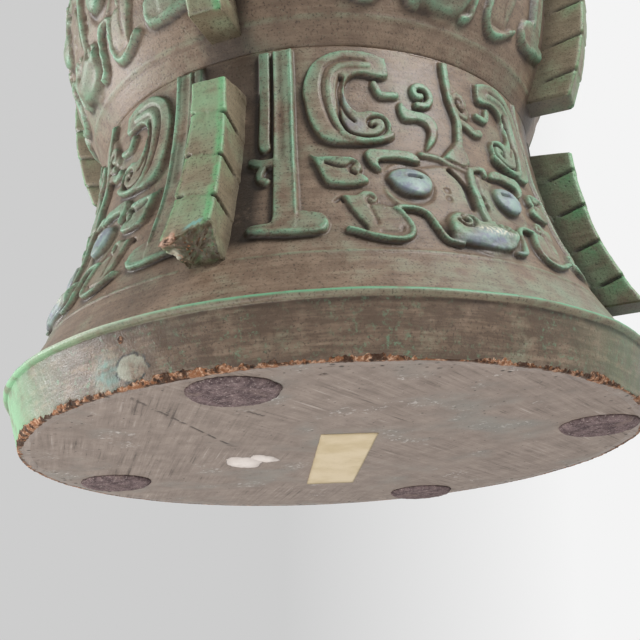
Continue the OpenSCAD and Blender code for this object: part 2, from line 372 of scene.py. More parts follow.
@dataclass
class Carving:
    """A carved pattern over the space between two flanges, kept as a fine height map."""

    strokes: tuple[Stroke, ...]
    width: float
    heights: Point
    scale: float
    fine: float = 0.28
    margin: float = 1.0
    grid: Array = field(init=False)

    def __post_init__(self) -> None:
        """Draws the strokes in order on the height map."""
        self.across = np.arange(0, self.width * self.scale + self.fine, self.fine)
        self.up = np.arange(self.heights[0], self.heights[1] + self.fine, self.fine)
        x, z = np.meshgrid(self.across, self.up)
        places = np.stack([x.ravel(), z.ravel()], axis=1)
        level = np.zeros(len(places))
        for stroke in self.strokes:
            drawn = np.array(stroke.points) * (self.scale, 1.0)
            reach = stroke.width / 2 + stroke.edge + self.margin
            above, below = places > drawn.min(0) - reach, places < drawn.max(0) + reach
            near = np.all(above & below, axis=1)
            cover = stroke.cover(places[near], self.scale)
            if stroke.cut is Cut.RAISE:
                level[near] = np.maximum(level[near], stroke.height * cover)
            elif stroke.cut is Cut.LIFT:
                level[near] += stroke.height * cover
            else:
                level[near] -= stroke.height * cover
        self.grid = level.reshape(x.shape)

    def sample(self, degrees: Array, height: Array) -> Array:
        """Heights of the carving at some places.

        Args:
            degrees: The places in drawn degrees.
            height: The places in drawn heights.

        Returns:
            The carved heights.
        """
        i = np.clip((height - self.up[0]) / self.fine, 0, len(self.up) - 1.001)
        j = np.clip(degrees * self.scale / self.fine, 0, len(self.across) - 1.001)
        i0, j0 = i.astype(int), j.astype(int)
        a, b = i - i0, j - j0
        g = self.grid
        low = g[i0, j0] * (1 - b) + g[i0, j0 + 1] * b
        high = g[i0 + 1, j0] * (1 - b) + g[i0 + 1, j0 + 1] * b
        return low * (1 - a) + high * a


MASK_SCALE = 1.15
MASK_HALF = 48.0
BLADE_SCALE = 1.25
BLADE_HALF = 22.5
RING_POINTS = 12
SCROLL_STEPS = 9
SCROLL_CLOSES = 0.78


def ring_points(middle: Point, radius: float, scale: float) -> tuple[Point, ...]:
    """Points of a ring on the carving.

    Args:
        middle: Its middle, in degrees and height.
        radius: Its radius in millimetres.
        scale: Millimetres across in one degree.

    Returns:
        The points, in degrees and heights.
    """
    x, z = middle
    turns = np.linspace(0, math.tau, RING_POINTS, endpoint=False)
    return tuple((x + radius * math.cos(t) / scale, z + radius * math.sin(t)) for t in turns)


def scroll_points(
    middle: Point, radius: float, scale: float, turns: float, start: float
) -> tuple[Point, ...]:
    """Points of a scroll that closes in on its middle.

    Args:
        middle: Its middle, in degrees and height.
        radius: Radius at its outer end, in millimetres.
        scale: Millimetres across in one degree.
        turns: How often it goes round, negative for clockwise.
        start: Direction of its outer end, in degrees.

    Returns:
        The points, in degrees and heights.
    """
    out = []
    count = max(6, int(abs(turns) * SCROLL_STEPS))
    for i in range(count + 1):
        t = i / count
        a = math.radians(start) + turns * math.tau * t
        r = radius * (1 - SCROLL_CLOSES * t)
        out.append((middle[0] + r * math.cos(a) / scale, middle[1] + r * math.sin(a)))
    return tuple(out)


def half_strokes() -> tuple[Stroke, ...]:
    """The left half of the animal mask, as it is drawn on the foot.

    Returns:
        The strokes in the order in which they are cut.
    """
    up, lift, sink = Cut.RAISE, Cut.LIFT, Cut.SINK
    s = MASK_SCALE
    cheek = (
        (33.2, 34.9), (36.9, 35), (38.5, 33.6), (39.2, 30.4), (40.2, 27.4), (43, 26.5), (50, 26.2),
        (50, 48), (44, 48.5), (40, 47.5), (33, 47), (31, 40),
    )
    horn = (
        (35, 76.5), (30, 78), (24, 77.8), (19.2, 75), (17.2, 71), (16.6, 67.3), (16.9, 64.5),
        (17.2, 61.8), (17.8, 58.9), (18.6, 56.5), (19.9, 54.2), (21.8, 52.9), (23.7, 52.5),
        (27.1, 52.5), (30.5, 53), (33.6, 53.9), (34.7, 54.9), (35, 55.7), (34.3, 56.9),
        (34.6, 58.2), (34, 59.9), (32.7, 61.2), (30.3, 61.8), (27.7, 61.5), (26, 63.6), (25.3, 67),
        (26, 70), (29, 72), (35, 71.6),
    )
    step = (
        (30, 75.4), (25, 75.4), (21.8, 73.5), (20.6, 70), (20.4, 67), (20.7, 63.9), (21.4, 60.7),
        (22.3, 57.5), (23.4, 55.8),
    )
    ridge = (
        (31, 74.2), (26, 74), (23.4, 72.6), (22.2, 70), (22, 67), (22.1, 63.8), (22.5, 60.6),
        (23.4, 57.8), (24.2, 55.4), (25.8, 54), (28.3, 53.4), (31.2, 53.8), (34.3, 55.4),
    )
    scroll = (
        (24.6, 71), (23.8, 67), (23.9, 63.8), (23.9, 59.8), (24.5, 57.4), (25.6, 55.4),
        (27.8, 54.5), (30.1, 54.5), (31.9, 55.3), (33.2, 56.8), (33.4, 58.4), (32.9, 59.7),
        (31.9, 60.1), (30.5, 59.8), (29.7, 58.9), (29.7, 57.8), (30.3, 57.2), (31, 57.8),
    )
    scroll_side = ((25.1, 70.6), (24.5, 66.9), (24.5, 63.4), (25.5, 60.4), (26.8, 58.6))
    ear = (
        (17.4, 50.2), (18.8, 48.9), (22.6, 48.8), (25.3, 48.3), (26.6, 47.3), (27.1, 45.5),
        (26.4, 44.2), (26.9, 43.9), (28, 42.5), (27.3, 41.5), (24.9, 41), (22.1, 41.2),
        (20.4, 41.9), (19.6, 43.7), (19, 45.7), (18.3, 48),
    )
    ear_groove = (
        (20.4, 47.2), (22.2, 46.2), (24.2, 45.9), (25, 46.6), (25.7, 47), (24.8, 46), (24.8, 44.6),
        (25.6, 43.9),
    )
    brow = (
        (28, 49.8), (28.9, 50.9), (31.5, 51.1), (34.7, 51.2), (37, 51), (38.6, 50), (39.2, 48.4),
        (38, 48.2), (35.7, 48.7), (32.8, 48.6), (30.7, 48), (30.4, 46.8), (30.9, 45.3), (29.6, 46),
        (28.5, 47.4),
    )
    eye = (
        (31.7, 43.3), (32.8, 45.2), (35.2, 46.1), (38.1, 45.8), (40, 44.4), (40.4, 42.3),
        (39.4, 40), (37.3, 38.7), (34.8, 39.2), (32.8, 41),
    )
    leg = (
        (22.9, 38.6), (25.3, 38.4), (26.8, 39.5), (28.4, 39.2), (29.1, 37.6), (28.9, 36.2),
        (31.7, 34.7), (33.2, 32.3), (33.9, 28.9), (33.2, 27.4), (30, 26.6), (26.6, 27.6),
        (26.4, 29.6), (25.3, 32), (24.1, 34.8), (23.3, 37),
    )
    knee = ((28.7, 36), (27.7, 35.9), (27.1, 37.1), (27.7, 38.1), (28.3, 37.4))
    jaw = (
        (23.4, 29.2), (24.8, 28.6), (26.5, 27.6), (28.2, 26.9), (30, 26.5), (31.8, 26.5),
        (33.2, 27.3), (33.9, 28.9), (33.8, 30.4), (33.2, 32.3), (32.5, 33.9), (31.8, 34.7),
    )
    lip = (
        (32.4, 35), (34.7, 35.2), (36.6, 34.7), (37.8, 33.3), (38.5, 30.6), (39.2, 28.1),
        (40, 26.9), (42, 26.4),
    )
    toe = (
        (13.4, 34.6), (14.8, 34.7), (16.9, 34.3), (19, 33.6), (19.9, 32.2), (20.1, 30.6),
        (19.6, 28.9), (18.4, 28.3), (16.8, 28.1), (13.8, 28.1), (10, 28.8), (6.7, 29.5),
        (6.1, 30.6), (6.8, 31.7), (10.2, 32), (10.8, 33.4),
    )
    return (
        Stroke(up, 0.5, cheek, edge=1.2),
        Stroke(up, 1.2, ((8.35, 80), (8.35, 54.4), (8.6, 53.2)), 2.7, curved=False),
        Stroke(up, 1.5, ((12.5, 80), (12.4, 50), (12.9, 31)), 4.9, curved=False),
        Stroke(lift, 0.35, ((14.1, 79), (14.2, 60), (14.9, 34)), 1.0),
        Stroke(sink, 0.3, ((11.6, 79), (11.7, 50)), 1.6, 1.2),
        Stroke(up, 1.3, toe),
        Stroke(lift, 0.3, ((6.8, 30.3), (10, 29.6), (14, 28.9), (18, 29), (19.4, 30.2)), 1.1),
        Stroke(up, 1.3, ((11, 48.8), (8, 48.7), (6.2, 49.4)), 2.2),
        Stroke(up, 1.2, ((8.6, 48.4), (7.7, 46), (8, 44.3), (9.2, 43.6)), 1.7),
        Stroke(up, 1.35, horn),
        Stroke(sink, 0.4, step, 0.7),
        Stroke(lift, 0.35, ridge, 1.4),
        Stroke(sink, 1.0, scroll, 0.75),
        Stroke(sink, 0.8, scroll_side, 0.75),
        Stroke(up, 1.35, ear),
        Stroke(sink, 0.8, ear_groove, 0.85),
        Stroke(lift, 0.25, ((18.8, 48.4), (22.5, 48.2), (25.2, 47.8), (26.4, 46.4)), 0.8),
        Stroke(up, 1.4, brow),
        Stroke(up, 0.9, leg),
        Stroke(sink, 0.6, knee, 0.6),
        Stroke(sink, 0.35, ((27.4, 35.2), (28, 32.4), (28.2, 30.4)), 0.6),
        Stroke(sink, 0.4, ((28.6, 28.2), (31.9, 28.3), (32.3, 29.4)), 0.5, 0.4, False),
        Stroke(sink, 0.6, ((21.7, 37.2), (22.8, 38), (23.6, 35.4), (25, 31.8), (26, 29.8)), 0.9),
        Stroke(up, 1.5, jaw, 1.15),
        Stroke(up, 1.5, lip, 1.15),
        Stroke(sink, 0.7, ring_points((36, 42), 5.5, s), edge=1.4),
        Stroke(up, 1.5, eye, edge=1.1),
        Stroke(lift, 0.9, ring_points((36.2, 42), 2.7, s), edge=4.6),
        Stroke(sink, 1.0, ((35.7, 43.6), (38, 43.6)), 0.9),
        Stroke(sink, 0.4, ring_points((43.5, 41.6), 0.8, s)),
        Stroke(sink, 0.4, ring_points((43.4, 39.3), 0.8, s)),
        Stroke(up, 1.3, scroll_points((42.4, 68.4), 3.6, s, 1.1, 250), 1.7),
        Stroke(up, 1.2, ((32, 69.6), (33.4, 66.8), (36.6, 67)), 1.7),
    )


def nose_strokes() -> tuple[Stroke, ...]:
    """Nose and snout of the mask, which stand a little off its middle.

    Returns:
        The strokes in the order in which they are cut.
    """
    up, lift, sink = Cut.RAISE, Cut.LIFT, Cut.SINK
    s = MASK_SCALE
    forehead = ((50.1, 80), (50.1, 69.5), (50.7, 65.5), (51.1, 62.5), (50.7, 59.9), (49.9, 56.4))
    nose = ((49.4, 57), (44.5, 50.8), (49, 49), (50.9, 50.2), (51, 53), (50.2, 57))
    bridge = ((50.3, 48.7), (49.8, 45), (49.7, 42.6), (49.9, 40.4), (49.8, 38.1), (50, 35))
    bridge_side = ((45.5, 47.6), (47.1, 45.6), (47.9, 43), (47.9, 40.2), (47.9, 37.6))
    body = (
        (40.3, 29.6), (41, 33), (43.2, 35.2), (46.2, 35.2), (48, 33.8), (50.4, 34.6), (52.8, 34.6),
        (54.8, 33.2), (54.6, 30.4), (53, 27.6), (49.6, 26.1), (43.5, 26.3), (40.6, 27),
    )
    crest = ((41.2, 30.6), (43, 29), (46, 29.2), (48.9, 30.3), (51.8, 31.3), (54.2, 30.8))
    hook = (
        (36.8, 64.2), (37.7, 65.1), (38.9, 63.4), (41.7, 63), (43.6, 62.6), (45, 61), (45.2, 58.5),
        (44, 55.5), (41.4, 52.4), (42.4, 55.8), (42.9, 58.1), (42.4, 59.8), (41, 60.5),
        (39.2, 60.2), (37.6, 60.4), (36.9, 62),
    )
    return (
        Stroke(up, 1.2, hook, edge=0.7),
        Stroke(up, 0.9, ((51, 73), (53.4, 69.4), (54.6, 66.6)), 3.0, 1.6),
        Stroke(up, 1.2, ((51.2, 63.4), (54, 62.4), (55.8, 61.3), (57.6, 61.9)), 2.2, 0.8),
        Stroke(up, 1.5, forehead, 2.1, 0.8),
        Stroke(up, 1.5, nose, edge=0.8, curved=False),
        Stroke(up, 1.0, ((40, 51), (43.4, 50.7), (45.8, 49.5), (49.7, 48.2)), 1.5, 1.0),
        Stroke(up, 1.5, bridge, 2.2, 1.2),
        Stroke(up, 1.1, ((50.6, 49), (52.6, 50.1), (54.6, 50.4), (54.8, 49)), 1.4),
        Stroke(sink, 1.0, bridge_side, 1.3),
        Stroke(sink, 0.4, ((51.9, 47), (51.6, 44), (51.9, 41), (51.9, 38)), 1.0),
        Stroke(up, 1.8, body, edge=1.3),
        Stroke(lift, 0.9, crest, 3.0, 2.6),
        Stroke(sink, 1.0, scroll_points((44.8, 33.4), 2.3, s, 1.25, 200), 0.8),
        Stroke(sink, 0.9, scroll_points((52.4, 33.3), 1.9, s, -1.2, -20), 0.8),
        Stroke(up, 0.3, ((5, 23.6), (45, 23.7), (85, 23.6)), 0.5),
    )


def whole_mask() -> tuple[Stroke, ...]:
    """The mask between two flanges: its left half, the narrower right half and the nose.

    Returns:
        The strokes in the order in which they are cut.
    """
    left = half_strokes()
    narrow = (QUARTER - MASK_HALF) / MASK_HALF

    def mirrored(stroke: Stroke) -> Stroke:
        """The same stroke on the other side of the nose."""
        return replace(stroke, points=tuple((QUARTER - d * narrow, z) for d, z in stroke.points))

    return left + tuple(mirrored(k) for k in left) + nose_strokes()


def blade_strokes() -> tuple[Stroke, ...]:
    """Half of a rising leaf blade, as it is drawn on the neck.

    Returns:
        The strokes in the order in which they are cut.
    """
    up, sink = Cut.RAISE, Cut.SINK
    s = BLADE_SCALE
    outline = ((-2, 167), (16.6, 167), (17, 187), (14.2, 216), (8.2, 246), (0, 272), (-2, 272))
    return (
        Stroke(up, 0.8, outline, edge=1.0, curved=False),
        Stroke(up, 1.8, ((15.8, 167.8), (16, 186), (13.4, 214.6), (7.6, 244.5), (0, 269.2)), 2.6),
        Stroke(up, 1.8, ((0, 168.45), (15.8, 168.45)), 2.4, curved=False),
        Stroke(sink, 0.6, ((13.4, 172), (13.4, 187), (10.8, 213), (5.6, 240), (0, 259)), 1.2),
        Stroke(up, 1.8, ((0, 167.8), (0, 238)), 3.0, curved=False),
        Stroke(up, 1.8, ((3.4, 191.2), (8, 192.5), (11, 186), (9.6, 178.2), (6.4, 179.5)), 2.2),
        Stroke(up, 1.8, ((2.8, 212), (6, 213.3), (8.2, 208.1), (6.2, 202.9)), 2.0),
        Stroke(up, 1.4, scroll_points((3.8, 222.5), 2.6, s, 1.2, 250), 1.5),
        Stroke(up, 1.4, ((1.8, 231), (4, 232), (5.4, 229.8)), 1.5),
        Stroke(up, 0.8, ((22.5, 176), (22.5, 250)), 1.4, curved=False),
        Stroke(up, 1.4, scroll_points((19.8, 226), 2.4, s, 1.2, 90), 1.4),
        Stroke(up, 1.4, scroll_points((18.6, 243), 2.8, s, 1.2, 90), 1.4),
        Stroke(up, 0.9, ((0, 163.6), (22.5, 163.6)), 1.6, curved=False),
    )


def blade_degrees(angle: Array) -> Array:
    """Turns angles round the neck into drawn degrees from the nearest blade's spine."""
    past = angle % (2 * BLADE_HALF)
    return np.abs(past - BLADE_HALF)


def skin(name: str, points: Array, masks: Masks, loop: bool) -> Piece:
    """Makes a closed mesh from rings of points.

    Args:
        name: Name of the piece.
        points: Rings in rows, in millimetres above the base face.
        masks: Values over the surface that the materials read, one for each point.
        loop: True if the last ring joins the first; otherwise both ends close in one point.

    Returns:
        The object, in the scene.
    """
    rows, cols = points.shape[:2]
    index = np.arange(rows * cols).reshape(rows, cols)
    verts = points.reshape(-1, 3)
    values = {k: np.broadcast_to(v, (rows, cols)).reshape(-1) for k, v in masks.items()}
    near, far = index, np.roll(index, -1, axis=1)
    if loop:
        high_near, high_far = np.roll(near, -1, axis=0), np.roll(far, -1, axis=0)
        quads = np.stack([near, far, high_far, high_near], axis=-1).reshape(-1, 4)
        fans = np.zeros((0, 3), int)
    else:
        quads = np.stack([near[1:-2], far[1:-2], far[2:-1], near[2:-1]], axis=-1).reshape(-1, 4)
        first = np.stack([np.full(cols, index[0, 0]), far[1], near[1]], axis=-1)
        last = np.stack([np.full(cols, index[-1, 0]), near[-2], far[-2]], axis=-1)
        fans = np.concatenate([first, last])
        keep = np.ones(rows * cols, bool)
        keep[index[0, 1:]] = False
        keep[index[-1, 1:]] = False
        number = np.cumsum(keep) - 1
        verts = verts[keep]
        values = {k: v[keep] for k, v in values.items()}
        quads, fans = number[quads], number[fans]
    a, b, c, d = (verts[quads[:, i]] for i in range(4))
    halves = [np.einsum("ij,ij->i", a, np.cross(*pair)).sum() for pair in ((b, c), (c, d))]
    if sum(halves) < 0:
        quads, fans = quads[:, ::-1], fans[:, ::-1]
    mesh = bpy.data.meshes.new(name)
    mesh.vertices.add(len(verts))
    lifted = verts * MM + np.array((0.0, 0.0, Standing.base_z))
    mesh.vertices.foreach_set("co", lifted.ravel().astype(np.float32))
    corners = np.concatenate([quads.ravel(), fans.ravel()]).astype(np.int32)
    counts = np.concatenate([np.full(len(quads), 4), np.full(len(fans), 3)]).astype(np.int32)
    mesh.loops.add(len(corners))
    mesh.loops.foreach_set("vertex_index", corners)
    mesh.polygons.add(len(counts))
    starts = np.concatenate([[0], np.cumsum(counts)[:-1]]).astype(np.int32)
    mesh.polygons.foreach_set("loop_start", starts)
    mesh.polygons.foreach_set("use_smooth", np.ones(len(counts), bool))
    mesh.update(calc_edges=True)
    for key, value in values.items():
        layer = mesh.attributes.new(key, "FLOAT", "POINT")
        layer.data.foreach_set("value", value.astype(np.float32))
    piece = bpy.data.objects.new(name, mesh)
    bpy.context.scene.collection.objects.link(piece)
    return piece


class Standing:
    """Where the base face stands, read from the frame once it is loaded."""

    base_z = 0.0


class Graph:
    """Adds and links the nodes of one shader tree."""

    def __init__(self, tree: Tree) -> None:
        """Starts on a tree."""
        self.tree = tree

    def connect(self, value: object, socket: Socket) -> None:
        """Links an output to a socket, or sets the socket to a plain value.

        Args:
            value: The output or the plain value.
            socket: The input that takes it.
        """
        if isinstance(value, Socket):
            self.tree.links.new(value, socket)
        else:
            socket.default_value = value

    def add(self, kind: str, sockets: dict | None = None, **settings: object) -> bpy.types.Node:
        """Adds a node.

        Args:
            kind: The node's type, without its leading ShaderNode.
            sockets: Values or output sockets for its inputs, by name or number.
            settings: Properties of the node.

        Returns:
            The node.
        """
        node = self.tree.nodes.new(kind if kind.startswith("Node") else "ShaderNode" + kind)
        for key, value in settings.items():
            setattr(node, key, value)
        for key, value in (sockets or {}).items():
            self.connect(value, node.inputs[key])
        return node

    def use(self, group: Tree, values: dict) -> bpy.types.Node:
        """Places a shared group with its own values."""
        return self.add("Group", values, node_tree=group)

    def mask(self, name: str) -> Socket:
        """Reads one of the masks that a mesh carries."""
        return self.add("Attribute", attribute_name=name).outputs["Fac"]

    def math(self, operation: str, a: object, b: object, clamp: bool = False) -> Socket:
        """Joins two values by an operation."""
        return self.add("Math", {0: a, 1: b}, operation=operation, use_clamp=clamp).outputs[0]

    def plus(self, a: object, b: object, clamp: bool = False) -> Socket:
        """Adds two values."""
        return self.math("ADD", a, b, clamp)

    def minus(self, a: object, b: object) -> Socket:
        """Takes the second value from the first."""
        return self.math("SUBTRACT", a, b)

    def times(self, a: object, b: object, clamp: bool = False) -> Socket:
        """Multiplies two values."""
        return self.math("MULTIPLY", a, b, clamp)

    def band(self, value: object, low: float, high: float, to: float = 1.0) -> Socket:
        """Rises from 0 to a value while the input goes from low to high."""
        sockets = {"Value": value, "From Min": low, "From Max": high, "To Max": to}
        return self.add("MapRange", sockets, interpolation_type="SMOOTHSTEP").outputs["Result"]

    def mix(self, share: object, a: object, b: object) -> Socket:
        """Mixes two colours.

        Args:
            share: Share of the second colour.
            a: The first colour.
            b: The second colour.

        Returns:
            The mixed colour.
        """
        node = self.add("Mix", data_type="RGBA", blend_type="MIX", clamp_factor=True)
        for key, value in (("Factor_Float", share), ("A_Color", a), ("B_Color", b)):
            self.connect(value, next(s for s in node.inputs if s.identifier == key))
        return next(s for s in node.outputs if s.identifier == "Result_Color")

    def noise(
        self, place: Socket, scale: float, detail: float = 4.0, rough: float = 0.55
    ) -> Socket:
        """Soft random spots over the surface."""
        sockets = {"Vector": place, "Scale": scale, "Detail": detail, "Roughness": rough}
        return self.add("TexNoise", sockets).outputs["Fac"]

    def cells(self, place: Socket, scale: float) -> Socket:
        """Distance from the nearest of many scattered points."""
        sockets = {"Vector": place, "Scale": scale, "Randomness": 1.0}
        return self.add("TexVoronoi", sockets).outputs["Distance"]

    def place(self) -> Socket:
        """Places on the object in metres."""
        return self.add("TexCoord").outputs["Object"]

    def drawn_place(self, stretch: Triple, turn: float = 0.0) -> Socket:
        """Places on the object, for marks that are drawn out.

        Args:
            stretch: How much closer the marks stand along each axis.
            turn: Degrees about the vertical.

        Returns:
            The places.
        """
        size = tuple(1 / s for s in stretch)
        sockets = {"Vector": self.place(), "Scale": size, "Rotation": (0, 0, math.radians(turn))}
        return self.add("Mapping", sockets, vector_type="TEXTURE").outputs["Vector"]


class GroupGraph(Graph):
    """The graph of a shared shader group, with named inputs and outputs."""

    def __init__(self, name: str, inputs: dict[str, str], outputs: dict[str, str]) -> None:
        """Starts a group.

        Args:
            name: Name of the group.
            inputs: Names of its inputs, each with its kind of socket.
            outputs: Names of its outputs, each with its kind of socket.
        """
        super().__init__(bpy.data.node_groups.new(name, "ShaderNodeTree"))
        for names, way in ((inputs, "INPUT"), (outputs, "OUTPUT")):
            for key, kind in names.items():
                self.tree.interface.new_socket(key, in_out=way, socket_type="NodeSocket" + kind)
        self.came = self.add("NodeGroupInput")
        self.goes = self.add("NodeGroupOutput")

    def read(self, key: str) -> Socket:
        """One input of the group."""
        return self.came.outputs[key]

    def write(self, key: str, value: Socket) -> None:
        """Sets one output of the group."""
        self.connect(value, self.goes.inputs[key])


def colour_inputs(*names: str) -> dict[str, str]:
    """Inputs of a group that are colours."""
    return dict.fromkeys(names, "Color")


PATINA_COLOURS = ("Ground", "Shade", "Green", "Bright", "Deep")


@cache
def patina_group() -> Tree:
    """Brown ground with green on what stands up, and dirt and painted shade in what lies deep.

    Returns:
        The group, with a colour, a roughness and a height.
    """
    g = GroupGraph(
        "patina",
        colour_inputs(*PATINA_COLOURS) | {"Amount": "Float"},
        {"Color": "Color", "Roughness": "Float", "Height": "Float"},
    )
    amount, green, deep = g.read("Amount"), g.read("Green"), g.read("Deep")
    spot = g.place()
    broad = g.noise(spot, 64.0, 3.0)
    middle = g.noise(spot, 260.0, 5.0, 0.64)
    fine = g.noise(spot, 1700.0, 3.0, 0.68)
    wiped = g.noise(g.drawn_place((0.14, 0.14, 2.4)), 420.0, 4.0, 0.65)

    tone = g.plus(g.times(middle, 0.55), g.times(wiped, 0.45))
    colour = g.mix(g.band(tone, 0.36, 0.64), g.read("Shade"), g.read("Ground"))

    haze = g.plus(g.times(g.mask("raised"), 0.27), g.times(broad, 1.2))
    haze = g.plus(haze, g.plus(g.times(middle, 0.4), g.times(wiped, 0.3)))
    haze = g.times(g.band(haze, 0.96, 1.4), amount)
    colour = g.mix(g.times(haze, 0.7, clamp=True), colour, green)

    rub_and_glint = g.band(g.plus(middle, g.times(fine, 0.4)), 0.46, 0.86)
    rim = g.times(g.mask("edge"), rub_and_glint)
    colour = g.mix(g.times(rim, amount, clamp=True), colour, g.read("Bright"))

    speck = g.band(fine, 0.6, 0.74, 0.4)
    colour = g.mix(g.times(speck, amount, clamp=True), colour, green)
    grit = g.band(g.noise(spot, 2000.0, 2.0, 0.6), 0.54, 0.7, 0.6)
    colour = g.mix(grit, colour, deep)

    # Dirt and painted shade darken the hollow mask towards Deep where the mottle is low.
    darkening = g.times(g.mask("hollow"), g.band(g.minus(1.2, middle), 0.25, 0.66))
    colour = g.mix(g.times(darkening, 0.92, clamp=True), colour, deep)
    pits = g.band(g.cells(spot, 420.0), 0.15, 0.05, 0.6)
    pits = g.times(pits, g.band(broad, 0.46, 0.62))
    g.write("Color", g.mix(pits, colour, deep))

    g.write("Roughness", g.plus(g.times(middle, 0.34), 0.3))
    height = g.plus(g.times(fine, 0.7), g.times(wiped, 0.25))
    g.write("Height", g.minus(height, g.times(pits, 0.8)))
    return g.tree


@cache
def core_group() -> Tree:
    """The granular tan body that shows where the skin is broken off.

    Returns:
        The group, with a colour and a height.
    """
    g = GroupGraph(
        "broken_core", colour_inputs("Tan", "Pale", "Dark"), {"Color": "Color", "Height": "Float"}
    )
    spot = g.place()
    grains = g.noise(spot, 1300.0, 3.0, 0.7)
    patches = g.noise(spot, 380.0, 4.0, 0.65)
    holes = g.band(g.cells(spot, 560.0), 0.3, 0.12)
    colour = g.mix(g.band(grains, 0.44, 0.7), g.read("Tan"), g.read("Pale"))
    colour = g.mix(g.times(g.band(patches, 0.45, 0.56), 0.85), colour, g.read("Dark"))
    colour = g.mix(g.times(holes, 0.9), colour, g.read("Dark"))
    g.write("Color", g.mix(g.band(grains, 0.66, 0.72, 0.8), colour, g.read("Pale")))
    g.write("Height", g.minus(grains, holes))
    return g.tree


@cache
def sawn_group() -> Tree:
    """Fine parallel marks of grinding, with pale specks and pinholes.

    Returns:
        The group, with a colour and a height.
    """
    g = GroupGraph(
        "sawn_face",
        colour_inputs("Face", "Shade", "Pale", "Dark", "Stain"),
        {"Color": "Color", "Height": "Float"},
    )
    pale, dark = g.read("Pale"), g.read("Dark")
    spot = g.place()
    broad = g.noise(spot, 34.0, 4.0, 0.6)
    middle = g.noise(spot, 190.0, 5.0, 0.65)
    fine = g.noise(spot, 1400.0, 3.0, 0.7)

    thin = (1.0, 0.03, 1.0)
    marks = g.noise(g.drawn_place(thin, 35.0), 1100.0, 3.0, 0.75)
    cross = g.noise(g.drawn_place(thin, -15.0), 1100.0, 3.0, 0.75)
    along = g.add("SeparateXYZ", {0: spot}).outputs["X"]
    swept = g.mix(g.band(along, -0.024, 0.012), marks, cross)
    swept = g.mix(g.band(broad, 0.4, 0.6), swept, (0.5, 0.5, 0.5, 1.0))

    tone = g.plus(g.times(middle, 0.55), g.times(swept, 0.75))
    colour = g.mix(g.band(tone, 0.42, 0.9), g.read("Shade"), g.read("Face"))
    colour = g.mix(g.times(g.band(broad, 0.5, 0.7), 0.55), colour, g.read("Stain"))
    colour = g.mix(g.band(swept, 0.6, 0.74, 0.4), colour, pale)
    colour = g.mix(g.band(fine, 0.66, 0.74, 0.6), colour, pale)
    colour = g.mix(g.band(fine, 0.38, 0.3, 0.5), colour, dark)
    colour = g.mix(g.band(swept, 0.42, 0.3, 0.5), colour, dark)

    patches = g.band(g.noise(spot, 70.0, 3.0), 0.56, 0.68)
    drops = g.band(g.noise(spot, 700.0, 3.0, 0.7), 0.55, 0.63)
    colour = g.mix(g.times(g.times(patches, drops), 0.7), colour, pale)

    holes = g.band(g.cells(spot, 260.0), 0.085, 0.045, 0.8)
    crumbs = g.times(g.mask("rim"), g.band(g.cells(spot, 380.0), 0.26, 0.14))
    holes = g.math("MAXIMUM", holes, g.times(crumbs, g.band(middle, 0.42, 0.58)))
    g.write("Color", g.mix(holes, colour, dark))
    g.write("Height", g.minus(g.plus(swept, g.times(fine, 0.3)), g.times(holes, 1.5)))
    return g.tree


@dataclass(frozen=True)
class Sheen:
    """How a finish takes the light: its gloss, and the strength and depth of its grain."""

    gloss: float
    grain: float
    depth: float


class SurfaceGraph(Graph):
    """The graph of one material, with its shader."""

    def __init__(self, name: str) -> None:
        """Starts a material with a plain shader."""
        self.material = bpy.data.materials.new(name)
        self.material.use_nodes = True
        super().__init__(self.material.node_tree)
        self.tree.nodes.clear()
        self.shader = self.add("BsdfPrincipled")
        self.add("OutputMaterial", {"Surface": self.shader.outputs[0]})

    def finish(
        self, colour: Socket, rough: Socket | float, height: Socket, sheen: Sheen
    ) -> Material:
        """Wires the shader.

        Args:
            colour: The colour over the surface.
            rough: The roughness, over the surface or the same all over.
            height: The grain that the bump reads.
            sheen: How the finish takes the light.

        Returns:
            The material.
        """
        sockets = {"Height": height, "Strength": sheen.grain, "Distance": sheen.depth}
        bump = self.add("Bump", sockets).outputs[0]
        inputs = self.shader.inputs
        self.connect(colour, inputs["Base Color"])
        self.connect(rough, inputs["Roughness"])
        self.connect(bump, inputs["Normal"])
        self.connect(sheen.gloss, inputs["Specular IOR Level"])
        return self.material


CORE_COLOURS = {"Tan": srgb("8f5f3f"), "Pale": srgb("d9b294"), "Dark": srgb("21140c")}
SAWN_COLOURS = {
    "Face": srgb("ab9b8f"),
    "Shade": srgb("82746a"),
    "Pale": srgb("dbd3cc"),
    "Dark": srgb("2a211b"),
    "Stain": srgb("8d8f88"),
}


@dataclass(frozen=True)
class Coat:
    """A colour that a mask lays over the patina, thinned where the mottle is below a band."""

    mask: str
    colour: str
    mottled: Point | None = None

    def lay(self, g: Graph, colour: Socket, mottle: Socket) -> Socket:
        """Lays the coat over a colour.

        Args:
            g: Graph of the material.
            colour: The colour below.
            mottle: The mottle of the surface.

        Returns:
            The colour with the coat on it.
        """
        share = g.mask(self.mask)
        if self.mottled:
            share = g.times(share, g.band(mottle, *self.mottled))
        return g.mix(share, colour, srgb(self.colour))


UNDERCOATS = (Coat("mint", "8aba8e", (0.2, 0.55)), Coat("bead", "66ab84", (0.26, 0.52)))
# cream is pale marks plus a painted highlight on the snout's crest and the bead; mark is a dark
# line round the drop plus painted shade under the snout.
TOP_COATS = (
    Coat("teal", "74a79d"),
    Coat("cream", "dad6c2"),
    Coat("dried", "a3a592", (0.36, 0.6)),
    Coat("mark", "1f2321"),
)
FRESH_BREAK = Coat("pale", "dcb7a0", (0.3, 0.5))


